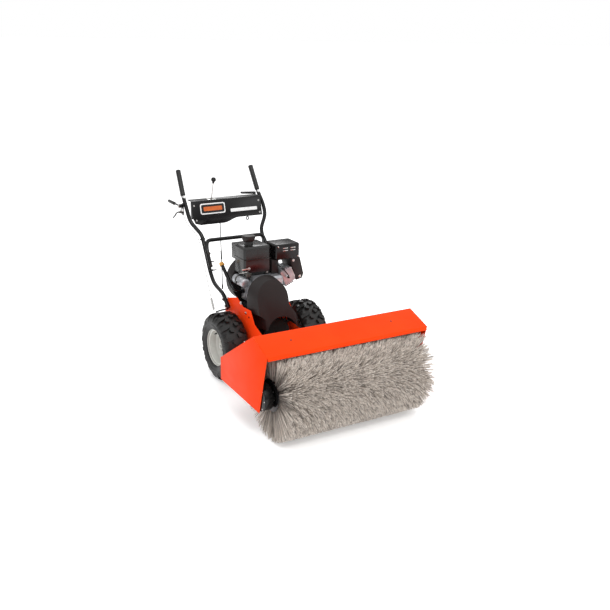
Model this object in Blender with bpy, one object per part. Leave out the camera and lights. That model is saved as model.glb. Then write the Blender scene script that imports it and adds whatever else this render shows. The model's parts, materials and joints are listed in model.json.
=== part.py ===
"""Walk-behind power brush: a wheeled engine unit with a swivelling brush head.

Metres, +Z up. The machine faces -Y and the ground is z = 0. Every place below is
measured from the point of the ground under the middle of the wheel axle, and the
empty "machine" sets that point so that the whole object is centred on the origin.
Each moving piece has its own origin on its joint's axis.
"""
import math

import bmesh
import bpy
from mathutils import Matrix, Vector

for old in list(bpy.data.objects):
    bpy.data.objects.remove(old)

# ---------------------------------------------------------------- clearances
GAP = 0.0003            # between pieces that rest on each other
RUN = 0.0010            # between pieces that turn or slide past each other
SHEET = 0.0030          # folded steel sheet

# ---------------------------------------------------------------- wheels and axle
WHEEL_RADIUS = 0.205
TYRE_WIDTH = 0.164
RIM_SEAT = 0.1015
AXLE_RADIUS = 0.0095

# ---------------------------------------------------------------- chassis
CHASSIS_HALF = 0.180
TRACK_HALF = CHASSIS_HALF + 0.010 + TYRE_WIDTH / 2      # middle of the machine to the middle of a tyre
DECK_TOP = 0.440
NOSE = -0.305           # front edge of the chassis sides
BELLY = 0.105
SHAFT_Z = 0.290         # height of the drive shafts between the chassis and the head
PIVOT_Y = -0.350        # vertical swivel axis of the head

# ---------------------------------------------------------------- brush head
BRUSH_REACH = 0.8485    # axle to brush axis
BRUSH_RADIUS = 0.248
BRUSH_HALF = 0.415
CORE_RADIUS = 0.055
WAFERS = 14             # rings of bristle on the core
WAFER_GAP = 0.0245      # open space between two rings
HOOD_HALF = 0.492
BEAM_SIZE = 0.045
BEAM_Y, BEAM_Z = -0.500, 0.153 + 0.25 * BRUSH_RADIUS     # the beam stays below the chain case
CROSS_Y = -0.505        # cross shaft from the gearbox to the chain case
CASE_IN, CASE_OUT = 0.436, 0.482    # chain case, distance from the middle

# ---------------------------------------------------------------- engine
CRANK_X, CRANK_Z = -0.020, 0.551
PULLEY_RADIUS = 0.040
BLOCK_TOP = 0.620
BLOWER_RADIUS = 0.145

# ---------------------------------------------------------------- handles
TUBE_RADIUS = 0.0125
GRIP_RADIUS = 0.0165
LEVER_REACH = 0.775     # rear end of the traction lever, the rearmost point
PANEL_HALF = 0.245

AXLE_STATION = (BRUSH_REACH + BRUSH_RADIUS - LEVER_REACH) / 2

MACHINE = bpy.data.objects.new("machine", None)
MACHINE.location = (0, AXLE_STATION, 0)
bpy.context.collection.objects.link(MACHINE)


# ---------------------------------------------------------------- materials
def material(name, colour, roughness, metallic=0.0):
    """A plain Principled material."""
    mat = bpy.data.materials.new(name)
    mat.use_nodes = True
    shader = mat.node_tree.nodes["Principled BSDF"]
    shader.inputs["Base Color"].default_value = (*colour, 1)
    shader.inputs["Roughness"].default_value = roughness
    shader.inputs["Metallic"].default_value = metallic
    return mat


ORANGE = material("orange_paint", (0.95, 0.10, 0.02), 0.25)
BLACK = material("black_paint", (0.012, 0.012, 0.012), 0.3)
PLASTIC = material("black_plastic", (0.03, 0.025, 0.025), 0.55)
RUBBER = material("rubber", (0.015, 0.015, 0.015), 0.8)
STEEL = material("steel", (0.55, 0.55, 0.56), 0.35, 1.0)
ALLOY = material("cast_alloy", (0.62, 0.62, 0.63), 0.45, 1.0)
RIM_WHITE = material("rim_paint", (0.72, 0.70, 0.66), 0.4)
BRISTLE = material("bristle", (0.55, 0.50, 0.45), 0.7)
YELLOW = material("yellow_plastic", (0.85, 0.55, 0.05), 0.4)


# ---------------------------------------------------------------- shape helpers
def place(name, bm, mat, origin=(0, 0, 0), bevel=0.0):
    """Turn a bmesh into a named object with its own origin, and soften its edges."""
    shift = Vector(origin)
    bmesh.ops.translate(bm, verts=bm.verts, vec=-shift)
    bmesh.ops.recalc_face_normals(bm, faces=bm.faces)
    mesh = bpy.data.meshes.new(name)
    bm.to_mesh(mesh)
    bm.free()
    mesh.shade_smooth()
    mesh.set_sharp_from_angle(angle=math.radians(35))
    mesh.materials.append(mat)
    part = bpy.data.objects.new(name, mesh)
    bpy.context.collection.objects.link(part)
    part.parent = MACHINE
    part.location = shift
    if bevel:
        rounding = part.modifiers.new("rounding", "BEVEL")
        rounding.width = bevel
        rounding.segments = 1
        rounding.limit_method = "ANGLE"
        rounding.angle_limit = math.radians(50)
    return part


def combine(part, operation, bm):
    """Cut a shape out of a part, or weld it on, with an exact Boolean."""
    number = len(part.modifiers) + 1
    tool = place(f"{part.name}_{operation.lower()}_{number}", bm, part.data.materials[0])
    tool.hide_render = True
    tool.display_type = "WIRE"
    step = part.modifiers.new(f"{operation.lower()}_{number}", "BOOLEAN")
    step.operation = operation
    step.solver = "EXACT"
    step.object = tool
    return part


def cut(part, bm):
    return combine(part, "DIFFERENCE", bm)


def weld(part, bm):
    return combine(part, "UNION", bm)


def block(low, high):
    """A box between two corners."""
    low, high = Vector(low), Vector(high)
    size = high - low
    bm = bmesh.new()
    bmesh.ops.create_cube(bm, size=1)
    bmesh.ops.scale(bm, verts=bm.verts, vec=size)
    bmesh.ops.translate(bm, verts=bm.verts, vec=(low + high) / 2)
    return bm


def rod(start, end, radius, sides=16, end_radius=None):
    """A round bar, or a cone, from one point to another."""
    start, end = Vector(start), Vector(end)
    along = end - start
    turn = along.to_track_quat("Z", "Y").to_matrix().to_4x4()
    bm = bmesh.new()
    bmesh.ops.create_cone(
        bm, cap_ends=True, segments=sides, radius1=radius,
        radius2=radius if end_radius is None else end_radius, depth=along.length,
        matrix=Matrix.Translation((start + end) / 2) @ turn)
    return bm


def ball(centre, radius, sides=12):
    bm = bmesh.new()
    bmesh.ops.create_uvsphere(bm, u_segments=sides, v_segments=sides // 2, radius=radius,
                              matrix=Matrix.Translation(centre))
    return bm


def prism(outline, low, high, axis):
    """Push a flat outline along an axis: X takes (y, z), Y takes (x, z), Z takes (x, y)."""
    order = {"X": (2, 0, 1), "Y": (0, 2, 1), "Z": (0, 1, 2)}[axis]
    bm = bmesh.new()
    rings = []
    for depth in (low, high):
        ring = []
        for first, second in outline:
            values = (first, second, depth)
            ring.append(bm.verts.new([values[order[i]] for i in range(3)]))
        rings.append(ring)
    bm.faces.new(rings[0])
    bm.faces.new(rings[1])
    count = len(outline)
    for i in range(count):
        j = (i + 1) % count
        bm.faces.new((rings[0][i], rings[0][j], rings[1][j], rings[1][i]))
    return bm


def turned(profile, axis, centre, steps=32, flat_down=False):
    """Spin a closed (radius, along) profile about an axis through a centre."""
    direction = {"X": Vector((1, 0, 0)), "Y": Vector((0, 1, 0)), "Z": Vector((0, 0, 1))}[axis]
    outward = Vector((0, 0, -1)) if axis != "Z" else Vector((0, -1, 0))
    scale = 1.0
    if flat_down:       # a flat facet under the axis, as wide from it as the radius given
        outward.rotate(Matrix.Rotation(math.pi / steps, 3, direction))
        scale = 1 / math.cos(math.pi / steps)
    centre = Vector(centre)
    bm = bmesh.new()
    verts = [bm.verts.new(centre + outward * r * scale + direction * a) for r, a in profile]
    edges = [bm.edges.new((verts[i], verts[(i + 1) % len(verts)])) for i in range(len(verts))]
    bmesh.ops.spin(bm, geom=verts + edges, cent=centre, axis=direction,
                   angle=2 * math.pi, steps=steps, use_merge=True)
    bmesh.ops.remove_doubles(bm, verts=bm.verts, dist=1e-6)
    return bm


def arc(centre, radius, start, end, steps):
    """Points on an arc in a plane, angles in degrees."""
    points = []
    for i in range(steps + 1):
        angle = math.radians(start + (end - start) * i / steps)
        points.append((centre[0] + radius * math.cos(angle), centre[1] + radius * math.sin(angle)))
    return points


def rounded_path(corners, bend, steps=3):
    """A route through corners with each inner corner swept by a curve."""
    corners = [Vector(c) for c in corners]
    route = [corners[0]]
    for before, corner, after in zip(corners, corners[1:], corners[2:]):
        reach = min(bend, (before - corner).length / 2.2, (after - corner).length / 2.2)
        start = corner + (before - corner).normalized() * reach
        end = corner + (after - corner).normalized() * reach
        for i in range(steps + 1):
            t = i / steps
            route.append(start * (1 - t) ** 2 + corner * 2 * t * (1 - t) + end * t ** 2)
    route.append(corners[-1])
    return route


def tube(name, route, radius, mat, origin=(0, 0, 0), resolution=2):
    """A bent round bar along a route."""
    shift = Vector(origin)
    curve = bpy.data.curves.new(name, "CURVE")
    curve.dimensions = "3D"
    curve.bevel_depth = radius
    curve.bevel_resolution = resolution
    curve.use_fill_caps = True
    spline = curve.splines.new("POLY")
    spline.points.add(len(route) - 1)
    for point, spot in zip(spline.points, route):
        point.co = (*(Vector(spot) - shift), 1)
    curve.materials.append(mat)
    part = bpy.data.objects.new(name, curve)
    bpy.context.collection.objects.link(part)
    part.parent = MACHINE
    part.location = shift
    return part


def mirrored(points, side):
    return [(side * x, y, z) for x, y, z in points]


def wrap(first, first_radius, second, second_radius, steps):
    """Outline of a loop stretched round two circles, first above second."""
    (x1, z1), (x2, z2) = first, second
    distance = math.hypot(x2 - x1, z2 - z1)
    heading = math.degrees(math.atan2(z2 - z1, x2 - x1))
    spread = math.degrees(math.acos((first_radius - second_radius) / distance))
    loop = arc(first, first_radius, heading + spread, heading + 360 - spread, steps)
    loop += arc(second, second_radius, heading - spread, heading + spread, steps)
    return loop


def loop_band(name, mat, circles, thickness, low, high, axis, steps=10):
    """A closed band, such as a belt or a chain, stretched round two circles."""
    (first, first_radius), (second, second_radius) = circles
    outer = wrap(first, first_radius + thickness, second, second_radius + thickness, steps)
    inner = wrap(first, first_radius, second, second_radius, steps)
    band = place(name, prism(outer, low, high, axis), mat)
    return cut(band, prism(inner, low - 0.01, high + 0.01, axis))


def sheet_path(path, thickness):
    """Closed outline of a bent sheet: a path of corners and the same path set in by its thickness."""
    points = [Vector(p) for p in path]
    inner = []
    for i, point in enumerate(points):
        before = (point - points[i - 1]).normalized() if i else None
        after = (points[i + 1] - point).normalized() if i + 1 < len(points) else None
        heading = ((before or after) + (after or before)).normalized()
        normal = Vector((-heading.y, heading.x))
        stretch = 1 / math.sqrt((1 + (before or after).dot(after or before)) / 2)
        inner.append(point + normal * thickness * stretch)
    return [tuple(p) for p in points] + [tuple(p) for p in reversed(inner)]


# ---------------------------------------------------------------- chassis
def chassis():
    lower = [(NOSE + GAP, 0.190), (-0.220, BELLY - SHEET), (0.150, BELLY - SHEET), (0.190, 0.160),
             (0.190, 0.400)]
    left_top = [(0.156, 0.452), (0.023, 0.490), (-0.058, 0.453), (-0.156, 0.457), (-0.206, 0.386),
                (NOSE + GAP, 0.349)]
    # the right plate is cut low in front, where only the end of the belt cover hides it
    right_top = [(0.156, 0.452), (0.060, 0.443), (-0.045, 0.350), (-0.070, 0.280), (NOSE + GAP, 0.280)]
    for side, word, top in ((-1, "left", left_top), (1, "right", right_top)):
        faces = sorted((side * CHASSIS_HALF, side * (CHASSIS_HALF - SHEET)))
        plate = place(f"chassis_side_{word}", prism(top + lower, *faces, "X"), ORANGE)
        inner, beyond = side * (CHASSIS_HALF - 0.03), side * (CHASSIS_HALF + 0.03)
        cut(plate, rod((inner, 0, WHEEL_RADIUS), (beyond, 0, WHEEL_RADIUS), AXLE_RADIUS + 2 * RUN))
    inside = CHASSIS_HALF - SHEET - GAP
    pan = sheet_path([(-0.210, BELLY), (0.145, BELLY), (0.185, 0.165), (0.185, 0.395)], SHEET)
    place("belly_pan", prism(pan, -inside, inside, "X"), BLACK)
    deck = [(-inside, -0.090), (0.105, -0.090), (0.105, 0.050), (inside, 0.100), (inside, 0.150),
            (-inside, 0.150)]
    place("engine_deck", prism(deck, DECK_TOP - SHEET, DECK_TOP, "Z"), BLACK)

    nose = place("nose_plate", block((-CHASSIS_HALF, NOSE - SHEET, 0.200), (CHASSIS_HALF, NOSE, 0.345)),
                 BLACK)
    cut(nose, rod((0, NOSE - 0.02, SHAFT_Z), (0, NOSE + 0.02, SHAFT_Z), 0.020))


# The head swivels on one pin, through a bracket on the nose plate above the shaft.
LUG = 0.010
YOKE_Z = 0.345          # underside of the chassis lug, top of the head's lug less a gap
PIN_RADIUS = 0.010


def swivel_bracket():
    face = NOSE - SHEET - GAP
    side = [(face, 0.315), (face, YOKE_Z + LUG), (PIVOT_Y - 0.025, YOKE_Z + LUG),
            (PIVOT_Y - 0.025, YOKE_Z), (face - 0.008, YOKE_Z), (face - 0.008, 0.315)]
    bracket = place("pivot_bracket", prism(side, -0.045, 0.045, "X"), BLACK)
    cut(bracket, rod((0, PIVOT_Y, YOKE_Z - 0.01), (0, PIVOT_Y, YOKE_Z + LUG + 0.01), PIN_RADIUS + 2 * GAP))
    # a headed pin: the head rests on the bracket, the shank passes both lugs
    top = YOKE_Z + LUG + GAP
    shank = [(0, 0.330), (PIN_RADIUS, 0.330), (PIN_RADIUS, top), (0.016, top), (0.016, top + 0.007),
             (0, top + 0.007)]
    place("pivot_pin", turned(shank, "Z", (0, PIVOT_Y, 0), 16), STEEL, (0, PIVOT_Y, 0))


# ---------------------------------------------------------------- wheels
def wheel(side, word):
    centre = (side * TRACK_HALF, 0, WHEEL_RADIUS)
    bore = AXLE_RADIUS + RUN
    lip, barrel, hub = 0.112, RIM_SEAT - SHEET, 0.018
    lip_edge, seat_edge = 0.067, 0.056          # half widths of the rim over its lips and its seats
    hub_out, hub_in = 0.030, -0.060
    rim = [(lip, -lip_edge), (RIM_SEAT, -seat_edge), (RIM_SEAT, seat_edge), (lip, lip_edge),
           (lip - SHEET, lip_edge), (barrel, seat_edge), (barrel, 0.018), (hub, 0.006), (hub, hub_out),
           (bore, hub_out), (bore, hub_in), (hub, hub_in), (hub, 0.003), (barrel, 0.015),
           (barrel, -seat_edge), (lip - SHEET, -lip_edge)]
    bead = RIM_SEAT + GAP
    half = TYRE_WIDTH / 2
    crown = WHEEL_RADIUS
    outer = [(bead, 0.0550), (0.1135, 0.0655), (0.150, half), (0.185, half - 0.003),
             (crown, half - 0.026)]
    inner = [(bead, 0.0450), (0.150, half - 0.010), (0.180, half - 0.012), (crown - 0.012, half - 0.030)]
    tyre = outer + [(r, -a) for r, a in reversed(outer)] + [(r, -a) for r, a in inner]
    tyre += [(r, a) for r, a in reversed(inner)]
    flip = [(r, side * a) for r, a in rim]
    place(f"rim_{word}", turned(flip, "X", centre, 28, True), RIM_WHITE, centre)
    place(f"tyre_{word}", turned(tyre, "X", centre, 28, True), RUBBER, centre)


# The gear on the axle meshes with the pinion on the hex shaft.
DISC_FACE = -0.046      # rear face of the friction disc
FRICTION_RADIUS = 0.055
HEX_Y = DISC_FACE + RUN + FRICTION_RADIUS
PINION_RADIUS = 0.022
GEAR_RADIUS = math.hypot(HEX_Y, SHAFT_Z - WHEEL_RADIUS) - PINION_RADIUS - 2 * RUN
GEAR_X = 0.130


def axle():
    reach = TRACK_HALF + 0.034
    steps = [(0, -reach), (AXLE_RADIUS, -reach), (AXLE_RADIUS, GEAR_X), (GEAR_RADIUS, GEAR_X),
             (GEAR_RADIUS, GEAR_X + 0.016), (AXLE_RADIUS, GEAR_X + 0.016), (AXLE_RADIUS, reach), (0, reach)]
    centre = (0, 0, WHEEL_RADIUS)
    place("axle_shaft", turned(steps, "X", centre, 24), STEEL, centre)


def friction_drive():
    """Disc turned by the traction belt, and the wheel that slides across it."""
    disc_radius = 0.075
    plane = [(0, -0.122), (0.009, -0.122), (0.009, -0.120)] + pulley_rim(0.070, -0.120, -0.102)
    plane += [(0.009, -0.102), (0.009, DISC_FACE - 0.010), (disc_radius, DISC_FACE - 0.010),
              (disc_radius, DISC_FACE), (0, DISC_FACE)]
    centre = (0, 0, SHAFT_Z)
    place("friction_disc", turned(plane, "Y", centre, 20), STEEL, centre)

    hex_radius = 0.009
    end = CHASSIS_HALF - SHEET - RUN
    shaft = [(0, -end), (hex_radius, -end), (hex_radius, GEAR_X), (PINION_RADIUS, GEAR_X),
             (PINION_RADIUS, GEAR_X + 0.016), (hex_radius, GEAR_X + 0.016), (hex_radius, end), (0, end)]
    centre = (0, HEX_Y, SHAFT_Z)
    place("hex_shaft", turned(shaft, "X", centre, 18), STEEL, centre)
    tread = [(0.0105, -0.014), (0.020, -0.014), (0.020, -0.007), (FRICTION_RADIUS, -0.007),
             (FRICTION_RADIUS, 0.007), (0.020, 0.007), (0.020, 0.014), (0.0105, 0.014)]
    place("friction_wheel", turned(tread, "X", centre, 24), RUBBER, centre)


# ---------------------------------------------------------------- belts
BELT_DEPTH = 0.007
BELT_WIDTH = 0.009
GROOVE = 0.010          # depth of a pulley groove below its rim


def pulley_rim(radius, low, high):
    """Rim of a V pulley between two faces, from low to high."""
    middle = (low + high) / 2
    half = BELT_WIDTH / 2 + RUN
    return [(radius, low), (radius, middle - half - 0.001), (radius - GROOVE, middle - half),
            (radius - GROOVE, middle + half), (radius, middle + half + 0.001), (radius, high)]


def belts():
    """Crank pulley with two grooves and the two belts below it."""
    planes = {"brush": (-0.150, -0.132, 0.085), "traction": (-0.120, -0.102, 0.070)}
    profile = [(0, -0.158), (0.012, -0.158), (0.012, -0.150)]
    profile += pulley_rim(PULLEY_RADIUS, -0.150, -0.132) + pulley_rim(PULLEY_RADIUS, -0.120, -0.102)
    profile += [(0.012, -0.102), (0.012, -0.0955), (0, -0.0955)]
    centre = (CRANK_X, 0, CRANK_Z)
    place("engine_pulley", turned(profile, "Y", centre, 18), STEEL, centre)
    for word, (low, high, radius) in planes.items():
        middle = (low + high) / 2
        circles = (((CRANK_X, CRANK_Z), PULLEY_RADIUS - GROOVE + 2 * RUN),
                   ((0, SHAFT_Z), radius - GROOVE + 2 * RUN))
        loop_band(f"{word}_belt", RUBBER, circles, BELT_DEPTH,
                  middle - BELT_WIDTH / 2, middle + BELT_WIDTH / 2, "Y")


def brush_drive():
    """Pulley and shaft from the brush belt to the universal joint at the swivel axis."""
    profile = [(0, -0.335), (0.018, -0.335), (0.018, -0.318), (0.009, -0.318), (0.009, -0.150)]
    profile += pulley_rim(0.085, -0.150, -0.132) + [(0.009, -0.132), (0, -0.132)]
    centre = (0, 0, SHAFT_Z)
    place("brush_drive_shaft", turned(profile, "Y", centre, 20), STEEL, centre)


# ---------------------------------------------------------------- belt cover
COVER_BACK = -0.096
COVER_BOTTOM_FRONT, COVER_TOP_FRONT = -0.232, -0.150
DOME_RADIUS = 0.115
# middle of the dome at the back of the cover, whose left side clears the chassis plate by 5 mm
COVER_X = DOME_RADIUS - (CHASSIS_HALF - SHEET - 0.005)
COVER_LOW, COVER_TOP = 0.345, 0.645
COVER_WALL = 0.004
FRONT_DRAW = 0.883      # width of the cover's face over the width of its open back
FRONT_SAG = 0.018       # how far the top of the face lies below the top of the back


def cover_outline(inset, floor):
    """Back view of the belt cover down to a floor: dome, waist and shoulders."""
    dome = COVER_TOP - DOME_RADIUS
    waist = DOME_RADIUS - inset
    top = arc((COVER_X, dome), waist, 0, 180, 12)
    right, left = 0.102 - inset, -0.135 + inset         # outer ends of the two shoulders
    right_run = [(right, floor), (right, 0.418 - inset), (COVER_X + waist, 0.483 - inset)]
    left_run = [(COVER_X - waist, 0.440 - inset), (left, 0.412 - inset), (left, floor)]
    return right_run + top + left_run


def leaning(bm, inset, back):
    """Lean the front face of a prism back along Y, and draw it in towards the dome's right side."""
    low, high = COVER_BOTTOM_FRONT + inset, COVER_TOP_FRONT + inset
    fixed = COVER_X + DOME_RADIUS
    for vert in bm.verts:
        if vert.co.y < back - 1e-6:
            share = (vert.co.z - COVER_LOW) / (COVER_TOP - COVER_LOW)
            vert.co.y = low + (high - low) * share
            vert.co.x = fixed + (vert.co.x - fixed) * FRONT_DRAW
            vert.co.z -= FRONT_SAG * max(share, 0)
    return bm


def belt_cover():
    """Open-backed shell over the belts, with an arched mouth cut in its front wall."""
    outer = leaning(prism(cover_outline(0, COVER_LOW), -0.2, COVER_BACK, "Y"), 0, COVER_BACK)
    cover = place("belt_cover", outer, PLASTIC)
    beyond = COVER_BACK + 0.01
    hollow = prism(cover_outline(COVER_WALL, COVER_LOW - 0.02), -0.2, beyond, "Y")
    cut(cover, leaning(hollow, COVER_WALL, beyond))
    half_width, rise, sunk = 0.100, 0.093, 0.026    # of the mouth's elliptical arch
    mouth = [(half_width * math.cos(a) - 0.006, COVER_LOW - sunk + rise * math.sin(a))
             for a in (math.radians(15 * i) for i in range(13))]
    cut(cover, prism(mouth, COVER_BOTTOM_FRONT - 0.02, COVER_BACK - 0.06, "Y"))


# ---------------------------------------------------------------- engine
BLOCK_LEFT, BLOCK_RIGHT = -0.104, 0.080
BLOCK_FRONT, BLOCK_BACK = -0.085, 0.130


def engine():
    case = place("engine_block", block((BLOCK_LEFT, BLOCK_FRONT, DECK_TOP + GAP),
                                       (BLOCK_RIGHT, BLOCK_BACK, BLOCK_TOP)), ALLOY, bevel=0.012)
    boss = Vector((CRANK_X, BLOCK_FRONT, CRANK_Z))
    weld(case, rod(boss + Vector((0, 0.01, 0)), boss - Vector((0, 0.0095, 0)), 0.060, 20))

    # finned cylinder, leaning to the right of the crankcase
    fins = []
    count, pitch, root, depth = 5, 0.0125, 0.045, 0.012
    for i in range(count):
        left = i * pitch
        fins += [(left, root), (left, root + depth), (left + pitch * 0.45, root + depth),
                 (left + pitch * 0.45, root)]
    length = count * pitch + 0.012
    fins += [(length, root), (length, -root)]
    for i in reversed(range(count)):
        left = i * pitch
        fins += [(left + pitch * 0.45, -root), (left + pitch * 0.45, -root - depth), (left, -root - depth),
                 (left, -root)]
    head = prism(fins, -0.055, 0.055, "Y")
    lean = Matrix.Rotation(math.radians(-25), 4, "Y")
    bmesh.ops.transform(head, verts=head.verts, matrix=Matrix.Translation((0.098, 0.01, 0.585)) @ lean)
    cylinder = place("cylinder_head", head, ALLOY)
    trim = block((-0.1, -0.1, 0.3), (BLOCK_RIGHT + GAP, 0.2, 0.8))
    cut(cylinder, trim)

    # tank: a hollow box with a filler neck on top, stepped at the back over the blower housing
    low, high = Vector((-0.146, -0.012, BLOCK_TOP + GAP)), Vector((0.033, 0.127, 0.797))
    tail = Vector((0, 0.045, 0))
    step = CRANK_Z + BLOWER_RADIUS + 0.004
    tank = place("fuel_tank", block(low, high), PLASTIC, bevel=0.012)
    weld(tank, block((low.x + 0.004, high.y - 0.02, step), high + tail - Vector((0.004, 0, 0.004))))
    cap = Vector((-0.085, 0.055, high.z))
    weld(tank, rod(cap - Vector((0, 0, 0.01)), cap + Vector((0, 0, 0.022)), 0.026, 16))
    wall = Vector((0.009, 0.009, 0.009))
    cut(tank, block(low + wall, high - wall))
    cut(tank, rod(cap - Vector((0, 0, 0.03)), cap + Vector((0, 0, 0.05)), 0.020, 16))
    seat = high.z + 0.022 + GAP
    lid = [(0, seat - 0.015), (0.0185, seat - 0.015), (0.0185, seat), (0.030, seat), (0.041, seat + 0.020),
           (0.041, seat + 0.032), (0.034, seat + 0.036), (0, seat + 0.036)]
    place("fuel_cap", turned(lid, "Z", (cap.x, cap.y, 0), 20), PLASTIC, (cap.x, cap.y, seat))

    near, far = Vector((0.046, -0.050, 0.706)), Vector((0.209, 0.090, 0.802))
    silencer = place("muffler", block(near, far), BLACK, bevel=0.008)
    inside = Vector((0.006, 0.006, 0.006))
    cut(silencer, block(near + inside, far - inside))
    cut(silencer, rod((0.19, 0.03, 0.756), (0.24, 0.03, 0.756), 0.011))

    shroud = [(0.150, 0.7055), (0.222, 0.7055), (0.250, 0.598), (0.238, 0.570), (0.200, 0.562)]
    side = place("side_shroud", prism(shroud, -0.030, 0.100, "Y"), PLASTIC)
    inset = [(0.1605, 0.7005), (0.2185, 0.7005), (0.2455, 0.598), (0.235, 0.574), (0.2035, 0.567)]
    cut(side, prism(inset, -0.026, 0.110, "Y"))

    # blower housing and recoil starter behind the crankcase
    back = BLOCK_BACK + GAP
    deep = 0.122            # crankcase to the face of the recoil starter
    shell = [(0, back), (BLOWER_RADIUS, back), (BLOWER_RADIUS, back + 0.078), (0.128, back + 0.096),
             (0.095, back + 0.098), (0.088, back + deep), (0, back + deep)]
    housing = place("blower_housing", turned(shell, "Y", (CRANK_X, 0, CRANK_Z), 28), PLASTIC)
    cut(housing, block((-0.3, 0.1, 0.3), (0.3, 0.3, DECK_TOP + 2 * GAP)))
    # duct that leads the cooling air forward over the cylinder
    weld(housing, block((0.0335, -0.020, BLOCK_TOP + GAP), (BLOCK_RIGHT, back + 0.02, 0.7055)))
    pull = Vector((CRANK_X + 0.065, back + deep + GAP, CRANK_Z + 0.060))
    handle = block(pull + Vector((-0.045, 0, -0.010)), pull + Vector((0.045, 0.018, 0.010)))
    place("recoil_handle", handle, PLASTIC, pull, bevel=0.006)

    # electric starter on the left of the crankcase, with its switch box
    centre = Vector((-0.153, 0, 0.590))
    starter = [(0, -0.045), (0.022, -0.045), (0.029, -0.039), (0.029, 0.085), (0, 0.085)]
    place("electric_starter", turned(starter, "Y", centre, 20), ALLOY)
    button = Vector((-0.1855, 0.010, 0.590))
    place("starter_button", rod(button, button + Vector((-0.008, 0, 0)), 0.008, 12), RUBBER, button)

    fill = rounded_path([(BLOCK_LEFT - GAP, 0.075, 0.505), (-0.125, 0.075, 0.505), (-0.176, 0.090, 0.526),
                         (-0.198, 0.185, 0.650)], 0.03)
    tube("oil_filler_tube", fill, 0.011, BLACK)
    tip = Vector(fill[-1])
    along = (tip - Vector(fill[-2])).normalized()
    stick = rod(tip + along * GAP, tip + along * 0.022, 0.016, 14, 0.013)
    place("dipstick", stick, YELLOW, tip)

    # throttle lever in front of the tank, on the left
    pivot = Vector((-0.118, -0.010, 0.668))
    boss = rod(pivot - Vector((0, 0.003, 0)), pivot - Vector((0, 0.007, 0)), 0.010, 12)
    throttle = place("throttle_lever", boss, STEEL, pivot)
    weld(throttle, block(pivot + Vector((-0.045, -0.007, -0.004)), pivot + Vector((0, -0.003, 0.004))))


# ---------------------------------------------------------------- brush head
# the front of the hood is set out from the brush, and grows with it
HOOD_RIDGE = (0.2278 * BRUSH_RADIUS - BRUSH_REACH, 2.25 * BRUSH_RADIUS)
HOOD_FRONT = (-0.3569 * BRUSH_RADIUS - 0.010 - BRUSH_REACH, 2.0121 * BRUSH_RADIUS)
HOOD_CORNER = (-0.0585 * BRUSH_RADIUS - BRUSH_REACH, 0.6815 * BRUSH_RADIUS)
HOOD_LIP = 0.0847 * BRUSH_RADIUS        # depth of the lip folded down at the front
HOOD_HEEL = (-0.410, 0.187)
HOOD_BACK = (-0.409, 0.315)


def brush_hood():
    pentagon = [HOOD_RIDGE, HOOD_FRONT, HOOD_CORNER, HOOD_HEEL, HOOD_BACK]
    for side, word in ((-1, "left"), (1, "right")):
        faces = sorted((side * HOOD_HALF, side * (HOOD_HALF - SHEET)))
        place(f"hood_end_{word}", prism(pentagon, *faces, "X"), ORANGE)
    lip = (HOOD_FRONT[0] - 0.003, HOOD_FRONT[1] - HOOD_LIP)
    path = sheet_path([lip, HOOD_FRONT, HOOD_RIDGE, HOOD_BACK, (HOOD_BACK[0], 0.205)], -SHEET)
    inside = HOOD_HALF - SHEET - GAP
    cover = place("hood_cover", prism(path, -inside, inside, "X"), ORANGE)
    cut(cover, block((-0.085, -0.485, 0.15), (0.085, -0.35, 0.375)))


def head_frame():
    inside = HOOD_HALF - SHEET - GAP
    half = BEAM_SIZE / 2
    bar = block((-inside, BEAM_Y - half, BEAM_Z - half), (inside, BEAM_Y + half, BEAM_Z + half))
    beam = place("head_frame", bar, BLACK)
    wall = half - SHEET
    tongue = [(BEAM_Y + half - 0.002, BEAM_Z - half), (BEAM_Y + half - 0.002, YOKE_Z - RUN),
              (PIVOT_Y + 0.020, YOKE_Z - RUN), (PIVOT_Y + 0.020, YOKE_Z - RUN - LUG),
              (BEAM_Y + half + 0.010, YOKE_Z - RUN - LUG), (BEAM_Y + half + 0.010, BEAM_Z - half)]
    weld(beam, prism(tongue, -0.030, 0.030, "X"))
    cut(beam, block((-0.6, BEAM_Y - wall, BEAM_Z - wall), (0.6, BEAM_Y + wall, BEAM_Z + wall)))
    cut(beam, rod((0, PIVOT_Y, 0.30), (0, PIVOT_Y, 0.36), PIN_RADIUS + 2 * GAP))
    cut(beam, rod((0, -0.49, SHAFT_Z), (0, -0.45, SHAFT_Z), 0.016))


def head_gearbox():
    low = Vector((-0.050, CROSS_Y - 0.045, BEAM_Z + BEAM_SIZE / 2 + GAP))
    high = Vector((0.050, BEAM_Y + BEAM_SIZE / 2 - 0.003, 0.335))
    case = place("gearbox", block(low, high), ALLOY, bevel=0.010)
    cut(case, rod((0, CROSS_Y + 0.012, SHAFT_Z), (0, -0.40, SHAFT_Z), 0.0105))
    cut(case, rod((-0.020, CROSS_Y, SHAFT_Z), (-0.07, CROSS_Y, SHAFT_Z), 0.0105))
    profile = [(0, -0.365), (0.018, -0.365), (0.018, -0.382), (0.009, -0.382),
               (0.009, CROSS_Y + 0.014), (0, CROSS_Y + 0.014)]
    centre = (0, 0, SHAFT_Z)
    place("gearbox_shaft", turned(profile, "Y", centre, 16), STEEL, centre)


# The chain case stands between the left hood end and the brush.
BRUSH_CENTRE = (-BRUSH_REACH, BRUSH_RADIUS)
CROSS_CENTRE = (CROSS_Y, SHAFT_Z)
SMALL_SPROCKET, LARGE_SPROCKET = 0.026, 0.046
BRUSH_SHAFT_RADIUS = 0.0125
CROSS_SHAFT_RADIUS = 0.0095


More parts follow.
